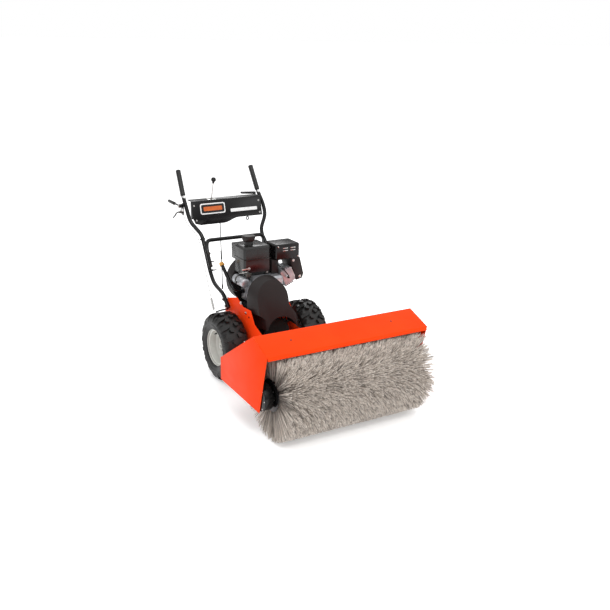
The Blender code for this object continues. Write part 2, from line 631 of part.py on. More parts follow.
def chain_drive():
    small_end, large_end, wall = 0.045, 0.070, 0.004
    outer = wrap(CROSS_CENTRE, small_end, BRUSH_CENTRE, large_end, 12)
    inner = wrap(CROSS_CENTRE, small_end - wall, BRUSH_CENTRE, large_end - wall, 12)
    case = place("chain_case", prism(outer, -CASE_OUT, -CASE_IN, "X"), BLACK)
    cut(case, prism(inner, -CASE_OUT - 0.01, -CASE_IN - wall, "X"))
    for (y, z), radius in ((CROSS_CENTRE, CROSS_SHAFT_RADIUS), (BRUSH_CENTRE, BRUSH_SHAFT_RADIUS)):
        cut(case, rod((-CASE_OUT + 0.02, y, z), (-CASE_IN + 0.02, y, z), radius + 2 * RUN))
    place("chain_cover", prism(outer, -CASE_OUT - GAP - SHEET, -CASE_OUT - GAP, "X"), BLACK)

    sprocket = -(CASE_IN + CASE_OUT) / 2 - 0.001
    near, far = sprocket - 0.003, sprocket + 0.003      # faces of both sprockets
    tip, inner_end = -CASE_OUT + 0.008, -0.024
    shaft = [(0, tip), (CROSS_SHAFT_RADIUS, tip), (CROSS_SHAFT_RADIUS, near), (SMALL_SPROCKET, near),
             (SMALL_SPROCKET, far), (CROSS_SHAFT_RADIUS, far), (CROSS_SHAFT_RADIUS, inner_end),
             (0, inner_end)]
    centre = (0, *CROSS_CENTRE)
    place("cross_shaft", turned(shaft, "X", centre, 20), STEEL, centre)
    circles = ((CROSS_CENTRE, SMALL_SPROCKET + 2 * RUN), (BRUSH_CENTRE, LARGE_SPROCKET + 2 * RUN))
    loop_band("drive_chain", STEEL, circles, 0.008, sprocket - 0.005, sprocket + 0.005, "X")

    end = HOOD_HALF - SHEET - RUN
    shaft = [(0, tip), (BRUSH_SHAFT_RADIUS, tip), (BRUSH_SHAFT_RADIUS, near), (LARGE_SPROCKET, near),
             (LARGE_SPROCKET, far), (BRUSH_SHAFT_RADIUS, far), (BRUSH_SHAFT_RADIUS, end), (0, end)]
    centre = (0, *BRUSH_CENTRE)
    place("brush_shaft", turned(shaft, "X", centre, 24), STEEL, centre)


def brush():
    centre = (0, *BRUSH_CENTRE)
    bore, wall = BRUSH_SHAFT_RADIUS + RUN, 0.004
    half = BRUSH_HALF
    core = [(bore, -half), (CORE_RADIUS, -half), (CORE_RADIUS, half), (bore, half), (bore, half - wall),
            (CORE_RADIUS - wall, half - wall), (CORE_RADIUS - wall, -half + wall), (bore, -half + wall)]
    place("brush_core", turned(core, "X", centre, 24, True), BLACK, centre)
    # every wafer stands on one thin sleeve over the core
    sleeve = CORE_RADIUS + GAP
    root = sleeve + 0.003
    width = (2 * half - (WAFERS - 1) * WAFER_GAP) / WAFERS
    profile = [(sleeve, half), (sleeve, -half)]
    for i in range(WAFERS):
        low = -half + i * (width + WAFER_GAP)
        profile += [(root, low)] if i else []
        profile += [(BRUSH_RADIUS, low), (BRUSH_RADIUS, low + width)]
        profile += [(root, low + width)] if i < WAFERS - 1 else []
    place("brush_bristles", turned(profile, "X", centre, 24, True), BRISTLE, centre)


# ---------------------------------------------------------------- handles
HANDLE = [(0.1932, 0.116, 0.399), (0.1932, 0.145, 0.427), (0.195, 0.185, 0.470), (0.200, 0.309, 0.506),
          (0.202, 0.359, 0.568), (0.210, 0.424, 0.725), (0.209, 0.459, 0.783), (0.267, 0.507, 0.866),
          (0.270, 0.545, 0.931), (0.265, 0.612, 1.004), (0.258, 0.704, 1.157)]


def handles():
    top, base = Vector(HANDLE[-1]), Vector(HANDLE[-2])
    along = (top - base).normalized()
    for side, word in ((-1, "left"), (1, "right")):
        tube(f"handlebar_{word}", rounded_path(mirrored(HANDLE, side), 0.035), TUBE_RADIUS, BLACK)
        start, end = base + along * 0.012, top + along * 0.004
        flip = Matrix.Diagonal((side, 1, 1))
        grip = place(f"grip_{word}", rod(flip @ start, flip @ end, GRIP_RADIUS, 16), RUBBER)
        below, bottom = flip @ (start - along * 0.01), flip @ (top + along * 2 * GAP)
        cut(grip, rod(below, bottom, TUBE_RADIUS + 3 * GAP, 16))
    # the legs of the brace lie against the front of the handlebars
    leg_top = (0.2095, 0.3878, 0.705)
    leg_end = (0.2036, 0.3435, 0.600)
    brace = [leg_end, leg_top, (0.196, 0.415, 0.757), (-0.196, 0.415, 0.757), (-leg_top[0], *leg_top[1:]),
             (-leg_end[0], *leg_end[1:])]
    tube("handle_brace", rounded_path(brace, 0.055, 5), TUBE_RADIUS, BLACK)


PANEL_TOP, PANEL_FRONT_Y, PANEL_LEAN = 0.986, 0.539, 0.266
PANEL_SHEET = 0.002
FLANGE = 0.070
LEVER_X = -0.100
LEVER_PIVOT = (LEVER_X, 0.575, 0.900)
HORN_LENGTH = 0.046     # horn of the speed lever that lifts the shift rod


def dash_panel():
    """Front sheet with a deeper left half, a top shelf and a slot for the speed lever."""
    low_left, low_right = 0.838, 0.865
    wave = [(PANEL_HALF * 0.28 - 0.10 * t, low_right + (low_left - low_right) * (3 * t * t - 2 * t ** 3))
            for t in (0, 0.25, 0.5, 0.75, 1)]
    outline = [(-PANEL_HALF, PANEL_TOP), (-PANEL_HALF, 0.885), (-PANEL_HALF + 0.013, 0.848),
               (-PANEL_HALF + 0.05, low_left)]
    outline += list(reversed(wave)) + [(PANEL_HALF, low_right), (PANEL_HALF, PANEL_TOP)]
    face = prism(outline, PANEL_FRONT_Y, PANEL_FRONT_Y + PANEL_SHEET, "Y")
    for vert in face.verts:
        vert.co.y += (vert.co.z - PANEL_TOP) * PANEL_LEAN
    panel = place("dash_panel", face, BLACK)
    weld(panel, block((-PANEL_HALF, PANEL_FRONT_Y, PANEL_TOP - PANEL_SHEET),
                      (PANEL_HALF, PANEL_FRONT_Y + FLANGE, PANEL_TOP)))
    cut(panel, block((LEVER_X - 0.006, PANEL_FRONT_Y + 0.004, 0.95),
                     (LEVER_X + 0.014, PANEL_FRONT_Y + FLANGE - 0.004, 1.02)))


def speed_control():
    """Speed lever, its rod and the bell crank on the chassis."""
    pivot = Vector(LEVER_PIVOT)
    knob = Vector((LEVER_X + 0.010, 0.532, 1.115))
    lever = place("speed_lever", rod(pivot, knob, 0.004, 10), STEEL, pivot)
    weld(lever, ball(knob, 0.016))
    weld(lever, rod(pivot - Vector((0.006, 0, 0)), pivot + Vector((0.044, 0, 0)), 0.008, 12))
    weld(lever, block(pivot + Vector((0.040, -HORN_LENGTH, -0.006)), pivot + Vector((0.044, 0, 0.006))))


ROD_TOP = (-0.049, 0.535, 0.890)
ROD_FOOT = (-0.140, 0.312, 0.458)


def shift_linkage():
    top, foot = Vector(ROD_TOP), Vector(ROD_FOOT)
    place("shift_rod", rod(top, foot, 0.003, 10), BLACK, top)
    pivot = Vector((-0.150, 0.215, 0.425))
    arm_end = Vector((-0.150, 0.312, 0.458))
    arm = prism([(pivot.y - 0.010, pivot.z - 0.010), (pivot.y + 0.010, pivot.z - 0.012),
                 (arm_end.y + 0.008, arm_end.z - 0.010), (arm_end.y + 0.008, arm_end.z + 0.006),
                 (pivot.y, pivot.z + 0.012), (pivot.y - 0.010, pivot.z + 0.008)],
                pivot.x - 0.002, pivot.x + 0.002, "X")
    place("shift_arm", arm, STEEL, pivot)


TRACTION_PIVOT = (-0.300, 0.585, 0.955)


def hand_controls():
    """Traction lever and lock trigger by the left grip, brush lever by the right end of the panel."""
    pivot = Vector(TRACTION_PIVOT)
    end = Vector((pivot.x, LEVER_REACH, pivot.z))
    lever = place("traction_lever", rod(pivot, end, 0.006, 12), BLACK, pivot)
    weld(lever, rod(Vector((pivot.x, 0.680, pivot.z)), end, 0.011, 12))
    weld(lever, rod(pivot - Vector((0.010, 0, 0)), pivot + Vector((0.0135, 0, 0)), 0.012, 12))

    hinge = Vector((-0.300, 0.585, 0.915))
    curl = rounded_path([hinge, (-0.300, 0.640, 0.905), (-0.300, 0.680, 0.872), (-0.300, 0.706, 0.858)], 0.03)
    tube("lock_trigger", curl, 0.005, BLACK, hinge)

    pin = Vector((0.215, 0.570, PANEL_TOP + 0.018))
    outline = [(pin.x + 0.010, pin.z - 0.010), (pin.x + 0.010, pin.z + 0.006), (pin.x - 0.095, pin.z + 0.012),
               (pin.x - 0.095, pin.z)]
    paddle = prism(outline, pin.y - 0.010, pin.y + 0.010, "Y")
    place("brush_lever", paddle, BLACK, pin)


def clutch_linkage():
    """Idler arm outside the left chassis side, and the cable that pulls it through a spring."""
    pivot = Vector((-0.1865, 0.135, 0.385))
    arm = rounded_path([pivot + Vector((0.0030, 0, 0)), (-0.196, 0.140, 0.384), (-0.216, 0.170, 0.372),
                        (-0.226, 0.226, 0.345)], 0.02, 3)
    tube("clutch_arm", arm, 0.005, BLACK, pivot)
    cable = [(-0.238, 0.230, 0.356), (-0.237, 0.275, 0.425), (-0.233, 0.320, 0.490), (-0.229, 0.372, 0.575),
             (-0.233, 0.428, 0.715), (-0.235, 0.462, 0.775), (-0.292, 0.508, 0.860), (-0.296, 0.545, 0.910),
             (-0.310, 0.570, 0.940)]
    tube("traction_cable", rounded_path(cable, 0.02, 2), 0.003, STEEL, resolution=1)


chassis()
swivel_bracket()
for hand, name_word in ((-1, "left"), (1, "right")):
    wheel(hand, name_word)
axle()
friction_drive()
belts()
brush_drive()
belt_cover()
engine()
brush_hood()
head_frame()
head_gearbox()
chain_drive()
brush()
handles()
dash_panel()
speed_control()
shift_linkage()
hand_controls()
clutch_linkage()
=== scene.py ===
"""Looks of the walk-behind sweeper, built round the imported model.

Metres, +Z up. The machine faces -Y. Places are measured from the point of the ground
under the middle of the wheel axle, which the frame gives, and at() puts them in the frame.
"""

import json
from math import cos, pi, radians, sin

import bmesh
import bpy
import numpy as np
from mathutils import Matrix, Vector


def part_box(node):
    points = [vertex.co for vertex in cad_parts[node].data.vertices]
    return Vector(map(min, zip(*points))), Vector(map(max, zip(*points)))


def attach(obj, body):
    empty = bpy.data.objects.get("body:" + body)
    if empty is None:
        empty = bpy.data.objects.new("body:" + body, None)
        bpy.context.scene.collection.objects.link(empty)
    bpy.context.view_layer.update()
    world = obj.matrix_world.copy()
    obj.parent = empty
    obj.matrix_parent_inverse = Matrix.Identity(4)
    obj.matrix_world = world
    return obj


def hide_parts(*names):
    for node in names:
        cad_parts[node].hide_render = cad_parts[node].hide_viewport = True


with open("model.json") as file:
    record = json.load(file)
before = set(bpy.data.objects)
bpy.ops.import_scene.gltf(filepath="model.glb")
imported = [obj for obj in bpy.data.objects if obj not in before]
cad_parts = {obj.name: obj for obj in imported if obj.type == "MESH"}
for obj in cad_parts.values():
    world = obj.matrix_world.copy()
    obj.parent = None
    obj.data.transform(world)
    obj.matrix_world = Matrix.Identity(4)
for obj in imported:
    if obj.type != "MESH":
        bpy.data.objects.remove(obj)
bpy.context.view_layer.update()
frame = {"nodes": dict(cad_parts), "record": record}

BODIES = frame["record"]["behaviour"]["bodies"]
BODY_OF = {node: body for body, nodes in BODIES.items() for node in nodes}


def middle(node):
    low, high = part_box(node)
    return (low + high) / 2


AXLE_Y = middle("tyre_left").y
AXLE_Z = 0.205          # height of the wheel axle
PLATE_X = 0.18          # outer face of a side plate
SIDES = (("left", -1), ("right", 1))


def at(x, y, z):
    """A place measured from the ground under the axle, in the frame."""
    return Vector((x, y + AXLE_Y, z))


def fill(node, values):
    """Set a shader node's inputs by name."""
    for name, value in values.items():
        node.inputs[name].default_value = value


def wire(tree, *rows):
    """Link sockets; a row is a node, its output, the next node and its input."""
    for source, out, target, into in rows:
        tree.links.new(source.outputs[out], target.inputs[into])


# ---------------------------------------------------------------- camera, lights and floor
def camera():
    """Three-quarter view from the left and the front, a little above the handles."""
    azimuth, pitch, roll = radians(30.83), radians(18.05), radians(-1.007)
    forward = Vector((sin(azimuth) * cos(pitch), cos(azimuth) * cos(pitch),
                      -sin(pitch)))
    level = Vector((cos(azimuth), -sin(azimuth), 0))
    down = forward.cross(level)
    right = level * cos(roll) + down * sin(roll)
    low = down * cos(roll) - level * sin(roll)
    data = bpy.data.cameras.new("camera")
    data.lens = 48.278
    data.sensor_width = 36
    eye = bpy.data.objects.new("camera", data)
    eye.matrix_world = Matrix.Translation(at(-2.2263, -4.2032, 1.9739)) @ Matrix(
        (right, -low, -forward)).transposed().to_4x4()
    bpy.context.collection.objects.link(eye)
    bpy.context.scene.camera = eye


def soft_light(name, spot, target, size, power):
    data = bpy.data.lights.new(name, "AREA")
    data.shape = "DISK"
    data.size = size
    data.energy = power
    lamp = bpy.data.objects.new(name, data)
    lamp.location = spot
    lamp.rotation_euler = (Vector(target) - Vector(spot)).to_track_quat("-Z", "Y").to_euler()
    bpy.context.collection.objects.link(lamp)


def studio():
    """White room, brighter overhead than at eye level, with three soft lamps and a white floor."""
    world = bpy.data.worlds.new("studio")
    world.use_nodes = True
    nodes = world.node_tree.nodes
    spot = nodes.new("ShaderNodeTexCoord")
    height = nodes.new("ShaderNodeSeparateXYZ")
    rise = nodes.new("ShaderNodeMapRange")
    seen = nodes.new("ShaderNodeLightPath")
    strength = nodes.new("ShaderNodeMix")
    fill(rise, {"From Min": 0.0, "From Max": 0.8, "To Min": 0.2, "To Max": 1.35})
    fill(strength, {"B": 1.0})
    fill(nodes["Background"], {"Color": (1, 1, 1, 1)})
    wire(world.node_tree, (spot, "Generated", height, "Vector"), (height, "Z", rise, "Value"),
         (rise, "Result", strength, "A"), (seen, "Is Camera Ray", strength, "Factor"),
         (strength, "Result", nodes["Background"], "Strength"))
    bpy.context.scene.world = world
    bpy.context.scene.view_settings.view_transform = "Standard"
    soft_light("key", (-1.4, -4.0, 4.0), (0, -0.2, 0.4), 1.2, 66)
    soft_light("fill", (3.2, -2.6, 2.2), (0, -0.2, 0.5), 2.0, 15)
    soft_light("back", (1.5, 3.6, 3.2), (0, 0.3, 0.6), 2.0, 35)
    bm = bmesh.new()
    bmesh.ops.create_grid(bm, x_segments=1, y_segments=1, size=400)
    bmesh.ops.translate(bm, verts=bm.verts, vec=(0, 0, -0.0006))
    mesh = bpy.data.meshes.new("floor")
    bm.to_mesh(mesh)
    bm.free()
    floor = bpy.data.objects.new("floor", mesh)
    bpy.context.collection.objects.link(floor)
    paint = bpy.data.materials.new("floor_paint")
    paint.use_nodes = True
    fill(paint.node_tree.nodes["Principled BSDF"],
         {"Base Color": (0.93, 0.93, 0.93, 1), "Roughness": 0.9, "Specular IOR Level": 0.1,
          "Emission Color": (1, 1, 1, 1), "Emission Strength": 0.34})
    mesh.materials.append(paint)


# ---------------------------------------------------------------- materials
def grain_group():
    """Fine surface relief and slow tone change, both from Object coordinates."""
    group = bpy.data.node_groups.new("grain", "ShaderNodeTree")
    for name, kind, value in (("Colour", "Color", (0.5, 0.5, 0.5, 1)),
                              ("Other Colour", "Color", (0.4, 0.4, 0.4, 1)),
                              ("Patch Scale", "Float", 6.0), ("Grain Scale", "Float", 400.0),
                              ("Roughness Low", "Float", 0.3), ("Roughness High", "Float", 0.4)):
        made = group.interface.new_socket(name=name, in_out="INPUT", socket_type="NodeSocket" + kind)
        made.default_value = value
    for name, kind in (("Colour", "Color"), ("Roughness", "Float"), ("Height", "Float")):
        group.interface.new_socket(name=name, in_out="OUTPUT", socket_type="NodeSocket" + kind)
    nodes = group.nodes
    take, give = nodes.new("NodeGroupInput"), nodes.new("NodeGroupOutput")
    spot = nodes.new("ShaderNodeTexCoord")
    patches, fine = nodes.new("ShaderNodeTexNoise"), nodes.new("ShaderNodeTexNoise")
    fill(patches, {"Detail": 5})
    fill(fine, {"Detail": 3})
    blend = nodes.new("ShaderNodeMix")
    blend.data_type = "RGBA"
    spread, share = nodes.new("ShaderNodeMapRange"), nodes.new("ShaderNodeMapRange")
    for ranged in (spread, share):
        fill(ranged, {"From Min": 0.35, "From Max": 0.65})
        wire(group, (patches, "Fac", ranged, "Value"))
    wire(group, (spot, "Object", patches, "Vector"), (spot, "Object", fine, "Vector"),
         (take, "Patch Scale", patches, "Scale"), (take, "Grain Scale", fine, "Scale"),
         (take, "Roughness Low", spread, "To Min"), (take, "Roughness High", spread, "To Max"),
         (share, "Result", blend, "Factor"), (take, "Colour", blend, "A"),
         (take, "Other Colour", blend, "B"), (blend, "Result", give, "Colour"),
         (spread, "Result", give, "Roughness"), (fine, "Fac", give, "Height"))
    return group


GRAIN = grain_group()
FIRST_IN = {}          # the first material made for each slot


def finish(name, slot, colour, other, rough, patch=6, grain=400, relief=0.1, depth=0.0002,
           metallic=0.0, coat=0.0, specular=0.5):
    """A Principled material with the shared grain; slot is the record's slot that it belongs to."""
    mat = bpy.data.materials.new(name)
    mat.use_nodes = True
    nodes = mat.node_tree.nodes
    shader = nodes["Principled BSDF"]
    fill(shader, {"Metallic": metallic, "Coat Weight": coat, "Coat Roughness": 0.08,
                  "Specular IOR Level": specular})
    grained = nodes.new("ShaderNodeGroup")
    grained.node_tree = GRAIN
    fill(grained, {"Colour": (*colour, 1), "Other Colour": (*other, 1), "Patch Scale": patch,
                   "Grain Scale": grain, "Roughness Low": rough[0], "Roughness High": rough[1]})
    bump = nodes.new("ShaderNodeBump")
    fill(bump, {"Strength": relief, "Distance": depth})
    wire(mat.node_tree, (grained, "Colour", shader, "Base Color"),
         (grained, "Roughness", shader, "Roughness"), (grained, "Height", bump, "Height"),
         (bump, "Normal", shader, "Normal"))
    FIRST_IN.setdefault(slot, mat)
    return mat


ORANGE = finish("orange_enamel", "orange_paint", (0.92, 0.058, 0.007), (0.86, 0.05, 0.006), (0.34, 0.42),
                patch=5, grain=260, relief=0.06, specular=0.03)
# painted highlight: lighter orange for the bright line that light draws along the hood's folds
FOLD_HIGHLIGHT = finish("painted_fold_highlight", "orange_paint", (0.95, 0.34, 0.18), (0.9, 0.26, 0.12), (0.25, 0.35),
              patch=20, grain=300, relief=0.05, specular=0.3)
BLACK = finish("black_enamel", "black_paint", (0.0035, 0.0035, 0.004),
               (0.006, 0.0055, 0.0055), (0.16, 0.26), patch=7, grain=500, relief=0.08, specular=0.3)
PLASTIC = finish("black_moulding", "black_plastic", (0.0125, 0.0095, 0.0092),
                 (0.016, 0.012, 0.0115), (0.44, 0.54), patch=9, grain=900, relief=0.25,
                 depth=0.0003, specular=0.3)
TANK = finish("tank_moulding", "black_plastic", (0.004, 0.004, 0.004), (0.009, 0.008, 0.0075), (0.2, 0.32),
              patch=10, grain=600, relief=0.12, specular=0.45)
# dark red; on the tank front it carries a painted reflection of the orange hood
MAROON = finish("tank_shade", "black_plastic", (0.03, 0.004, 0.004), (0.018, 0.003, 0.003), (0.26, 0.36),
                patch=14, grain=600, relief=0.1, specular=0.4)
GRIP = finish("grip_sleeve", "grip_rubber", (0.005, 0.005, 0.005), (0.01, 0.0095, 0.009), (0.28, 0.42),
              patch=20, grain=800, relief=0.2, specular=0.45)
TYRE = finish("tread_rubber", "tyre_rubber", (0.0055, 0.0052, 0.005), (0.013, 0.012, 0.0115), (0.36, 0.56),
              patch=24, grain=500, relief=0.3, depth=0.0004, specular=0.4)
STEEL = finish("plated_steel", "bright_steel", (0.62, 0.61, 0.58), (0.5, 0.5, 0.5), (0.24, 0.4),
               patch=30, grain=700, relief=0.05, metallic=1.0)
DARK_STEEL = finish("oiled_steel", "bright_steel", (0.14, 0.13, 0.12), (0.07, 0.065, 0.06), (0.3, 0.5),
                    patch=26, grain=600, relief=0.1, metallic=0.9)
# painted shade: near-black steel for the drive parts in the dark behind the belt cover
SHADE_STEEL = finish("painted_shade_steel", "bright_steel", (0.012, 0.011, 0.01), (0.02, 0.018, 0.016), (0.55, 0.7),
              patch=9, grain=500, relief=0.1, metallic=0.3, specular=0.2)
ALLOY = finish("raw_casting", "cast_alloy", (0.5, 0.51, 0.53), (0.34, 0.35, 0.37), (0.34, 0.52),
               patch=22, grain=480, relief=0.4, depth=0.0004, metallic=0.75)
RIM = finish("rim_enamel", "rim_paint", (0.56, 0.56, 0.52), (0.44, 0.43, 0.4), (0.3, 0.42),
             patch=12, grain=300, relief=0.06, coat=0.1)
YELLOW = finish("yellow_cap", "yellow_plastic", (0.62, 0.33, 0.05), (0.45, 0.2, 0.03), (0.35, 0.45),
                patch=60, grain=500)
WHITE = finish("white_mark", "rim_paint", (0.88, 0.88, 0.87), (0.8, 0.8, 0.8), (0.35, 0.42),
               patch=20, grain=500)
BADGE = finish("badge_orange", "orange_paint", (0.62, 0.14, 0.02), (0.5, 0.09, 0.015), (0.3, 0.4),
               patch=24, grain=500)


def bristle_finish():
    """Filament tone from the strand's own attribute, darker towards the core as painted shade."""
    mat = bpy.data.materials.new("filament")
    mat.use_nodes = True
    nodes = mat.node_tree.nodes
    shader = nodes["Principled BSDF"]
    fill(shader, {"Roughness": 0.5})
    tone = nodes.new("ShaderNodeAttribute")
    tone.attribute_name = "tone"
    ramp = nodes.new("ShaderNodeValToRGB")
    ramp.color_ramp.elements[0].color = (0.07, 0.055, 0.048, 1)
    ramp.color_ramp.elements[1].color = (0.95, 0.89, 0.82, 1)
    middle_stop = ramp.color_ramp.elements.new(0.45)
    middle_stop.color = (0.68, 0.6, 0.53, 1)
    wire(mat.node_tree, (tone, "Fac", ramp, "Fac"), (ramp, "Color", shader, "Base Color"))
    FIRST_IN["bristle"] = mat
    return mat


FILAMENT = bristle_finish()


# ---------------------------------------------------------------- shape helpers
def belongs(obj, body, stands_for):
    """Say which body carries a piece and which nodes it stands for."""
    bpy.context.collection.objects.link(obj)
    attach(obj, body)
    if stands_for:
        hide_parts(*stands_for)
    return obj


def piece(name, bm, mat, body="chassis", stands_for=(), crease=38, outward=True):
    """Turn a bmesh, or a list of them, into a piece that rides on a body."""
    if isinstance(bm, list):
        bm = joined(*bm)
    if outward:
        bmesh.ops.recalc_face_normals(bm, faces=bm.faces)
    mesh = bpy.data.meshes.new(name)
    bm.to_mesh(mesh)
    bm.free()
    mesh.shade_smooth()
    mesh.set_sharp_from_angle(angle=radians(crease))
    mesh.materials.append(mat)
    return belongs(bpy.data.objects.new(name, mesh), body, stands_for)


def soften(bm, width, segments=2, sharp=30):
    """Round the ridges of a mesh."""
    ridges = [e for e in bm.edges
              if len(e.link_faces) == 2 and e.calc_face_angle() > radians(sharp)]
    bmesh.ops.bevel(bm, geom=ridges, offset=width, offset_type="OFFSET", segments=segments,
                    profile=0.5, affect="EDGES", material=-1, clamp_overlap=True)
    return bm


def cad_copy(node):
    """The node's own shape with its triangles joined into faces."""
    bm = bmesh.new()
    bm.from_mesh(frame["nodes"][node].data)
    bmesh.ops.remove_doubles(bm, verts=bm.verts, dist=1e-6)
    bmesh.ops.dissolve_limit(bm, angle_limit=radians(0.5), verts=bm.verts, edges=bm.edges)
    return bm


def skin(node, mat, width=0.0008, segments=2, crease=38):
    """A copy of the node with rounded edges, standing for it."""
    bm = cad_copy(node)
    if width:
        soften(bm, width, segments)
    return piece(node + "_skin", bm, mat, BODY_OF[node], (node,), crease, outward=False)


def block(low, high, width=0.0, segments=2):
    low, high = Vector(low), Vector(high)
    bm = bmesh.new()
    bmesh.ops.create_cube(bm, size=1)
    bmesh.ops.scale(bm, verts=bm.verts, vec=high - low)
    bmesh.ops.translate(bm, verts=bm.verts, vec=(low + high) / 2)
    return soften(bm, width, segments) if width else bm


def rod(start, end, radius, sides=24, end_radius=None, width=0.0):
    start, end = Vector(start), Vector(end)
    along = end - start
    turn = along.to_track_quat("Z", "Y").to_matrix().to_4x4()
    bm = bmesh.new()
    bmesh.ops.create_cone(bm, cap_ends=True, segments=sides, radius1=radius,
                          radius2=radius if end_radius is None else end_radius, depth=along.length,
                          matrix=Matrix.Translation((start + end) / 2) @ turn)
    return soften(bm, width, 2, 50) if width else bm


def prism(outline, low, high, axis, width=0.0, segments=2):
    """Push a flat outline along an axis: X takes (y, z), Y takes (x, z), Z takes (x, y)."""
    order = {"X": (2, 0, 1), "Y": (0, 2, 1), "Z": (0, 1, 2)}[axis]
    bm = bmesh.new()
    ring = [bm.verts.new([(first, second, low)[i] for i in order]) for first, second in outline]
    face = bm.faces.new(ring)
    made = bmesh.ops.extrude_face_region(bm, geom=[face])
    push = Vector({"X": (1, 0, 0), "Y": (0, 1, 0), "Z": (0, 0, 1)}[axis]) * (high - low)
    moved = [g for g in made["geom"] if isinstance(g, bmesh.types.BMVert)]
    bmesh.ops.translate(bm, verts=moved, vec=push)
    bmesh.ops.recalc_face_normals(bm, faces=bm.faces)
    return soften(bm, width, segments) if width else bm


def turned(profile, axis, centre, steps=64):
    """Spin a (radius, along) profile about an axis through a centre; a profile off the axis is closed."""
    direction = {"X": Vector((1, 0, 0)), "Y": Vector((0, 1, 0)), "Z": Vector((0, 0, 1))}[axis]
    outward = Vector((0, 0, -1)) if axis != "Z" else Vector((0, -1, 0))
    centre = Vector(centre)
    bm = bmesh.new()
    verts = [bm.verts.new(centre + outward * r + direction * a) for r, a in profile]
    edges = [bm.edges.new((verts[i], verts[(i + 1) % len(verts)])) for i in range(len(verts))]
    bmesh.ops.spin(bm, geom=verts + edges, cent=centre, axis=direction, angle=2 * pi, steps=steps,
                   use_merge=True)
    bmesh.ops.remove_doubles(bm, verts=bm.verts, dist=1e-6)
    return bm


def joined(*shapes):
    """Several closed shapes in one mesh."""
    whole = shapes[0]
    for shape in shapes[1:]:
        mesh = bpy.data.meshes.new("joined")
        shape.to_mesh(mesh)
        shape.free()
        whole.from_mesh(mesh)
        bpy.data.meshes.remove(mesh)
    return whole


def bolt(spot, way, radius=0.006, height=None, washer=True):
    """Hexagon head on a washer, standing on a face."""
    spot, way = Vector(spot), Vector(way).normalized()
    height = height or radius * 0.75
    shapes = []
    base = spot
    if washer:
        base = spot + way * radius * 0.25
        shapes.append(rod(spot - way * 0.0004, base, radius * 1.55, 20))
    shapes.append(rod(base - way * 0.0002, base + way * height, radius, 6, width=radius * 0.12))
    return joined(*shapes)


def bolts(name, spots, way, radius, height=None, washer=True, mat=STEEL, body="chassis"):
    """Bolt heads that face one way, in one piece."""
    heads = [bolt(spot, way, radius, height, washer) for spot in spots]
    return piece(name, heads, mat, body)


def rounded_path(corners, bend, steps=6):
    """A route through corners, each inner corner swept by a curve."""
    corners = [Vector(c) for c in corners]
    route = [corners[0]]
    for before, corner, after in zip(corners, corners[1:], corners[2:]):
        reach = min(bend, (before - corner).length / 2.2, (after - corner).length / 2.2)
        start = corner + (before - corner).normalized() * reach
        end = corner + (after - corner).normalized() * reach
        for i in range(steps + 1):
            t = i / steps
            route.append(start * (1 - t) ** 2 + corner * 2 * t * (1 - t) + end * t ** 2)
    route.append(corners[-1])
    return route


def bar(name, route, radius, mat, body="chassis", stands_for=(), resolution=4):
    """A bent round bar along a route."""
    curve = bpy.data.curves.new(name, "CURVE")
    curve.dimensions = "3D"
    curve.bevel_depth = radius
    curve.bevel_resolution = resolution
    curve.use_fill_caps = True
    spline = curve.splines.new("POLY")
    spline.points.add(len(route) - 1)
    for point, spot in zip(spline.points, route):
        point.co = (*spot, 1)
    spline.use_smooth = True
    curve.materials.append(mat)
    return belongs(bpy.data.objects.new(name, curve), body, stands_for)


# ---------------------------------------------------------------- brush
def strand_shape():
    """One filament of unit length along Z and unit thickness, thinner at its tip, cut once."""
    bm = bmesh.new()
    bmesh.ops.create_cone(bm, cap_ends=True, segments=3, radius1=0.5, radius2=0.36, depth=1,
                          matrix=Matrix.Translation((0, 0, 0.5)))
    bmesh.ops.bisect_plane(bm, geom=bm.verts[:] + bm.edges[:] + bm.faces[:], plane_co=(0, 0, 0.55),
                           plane_no=(0, 0, 1), dist=1e-5)
    bm.normal_update()
    bm.verts.index_update()
    points = np.array([v.co for v in bm.verts])
    faces = [[v.index for v in f.verts] for f in bm.faces]
    bm.free()
    return points, faces


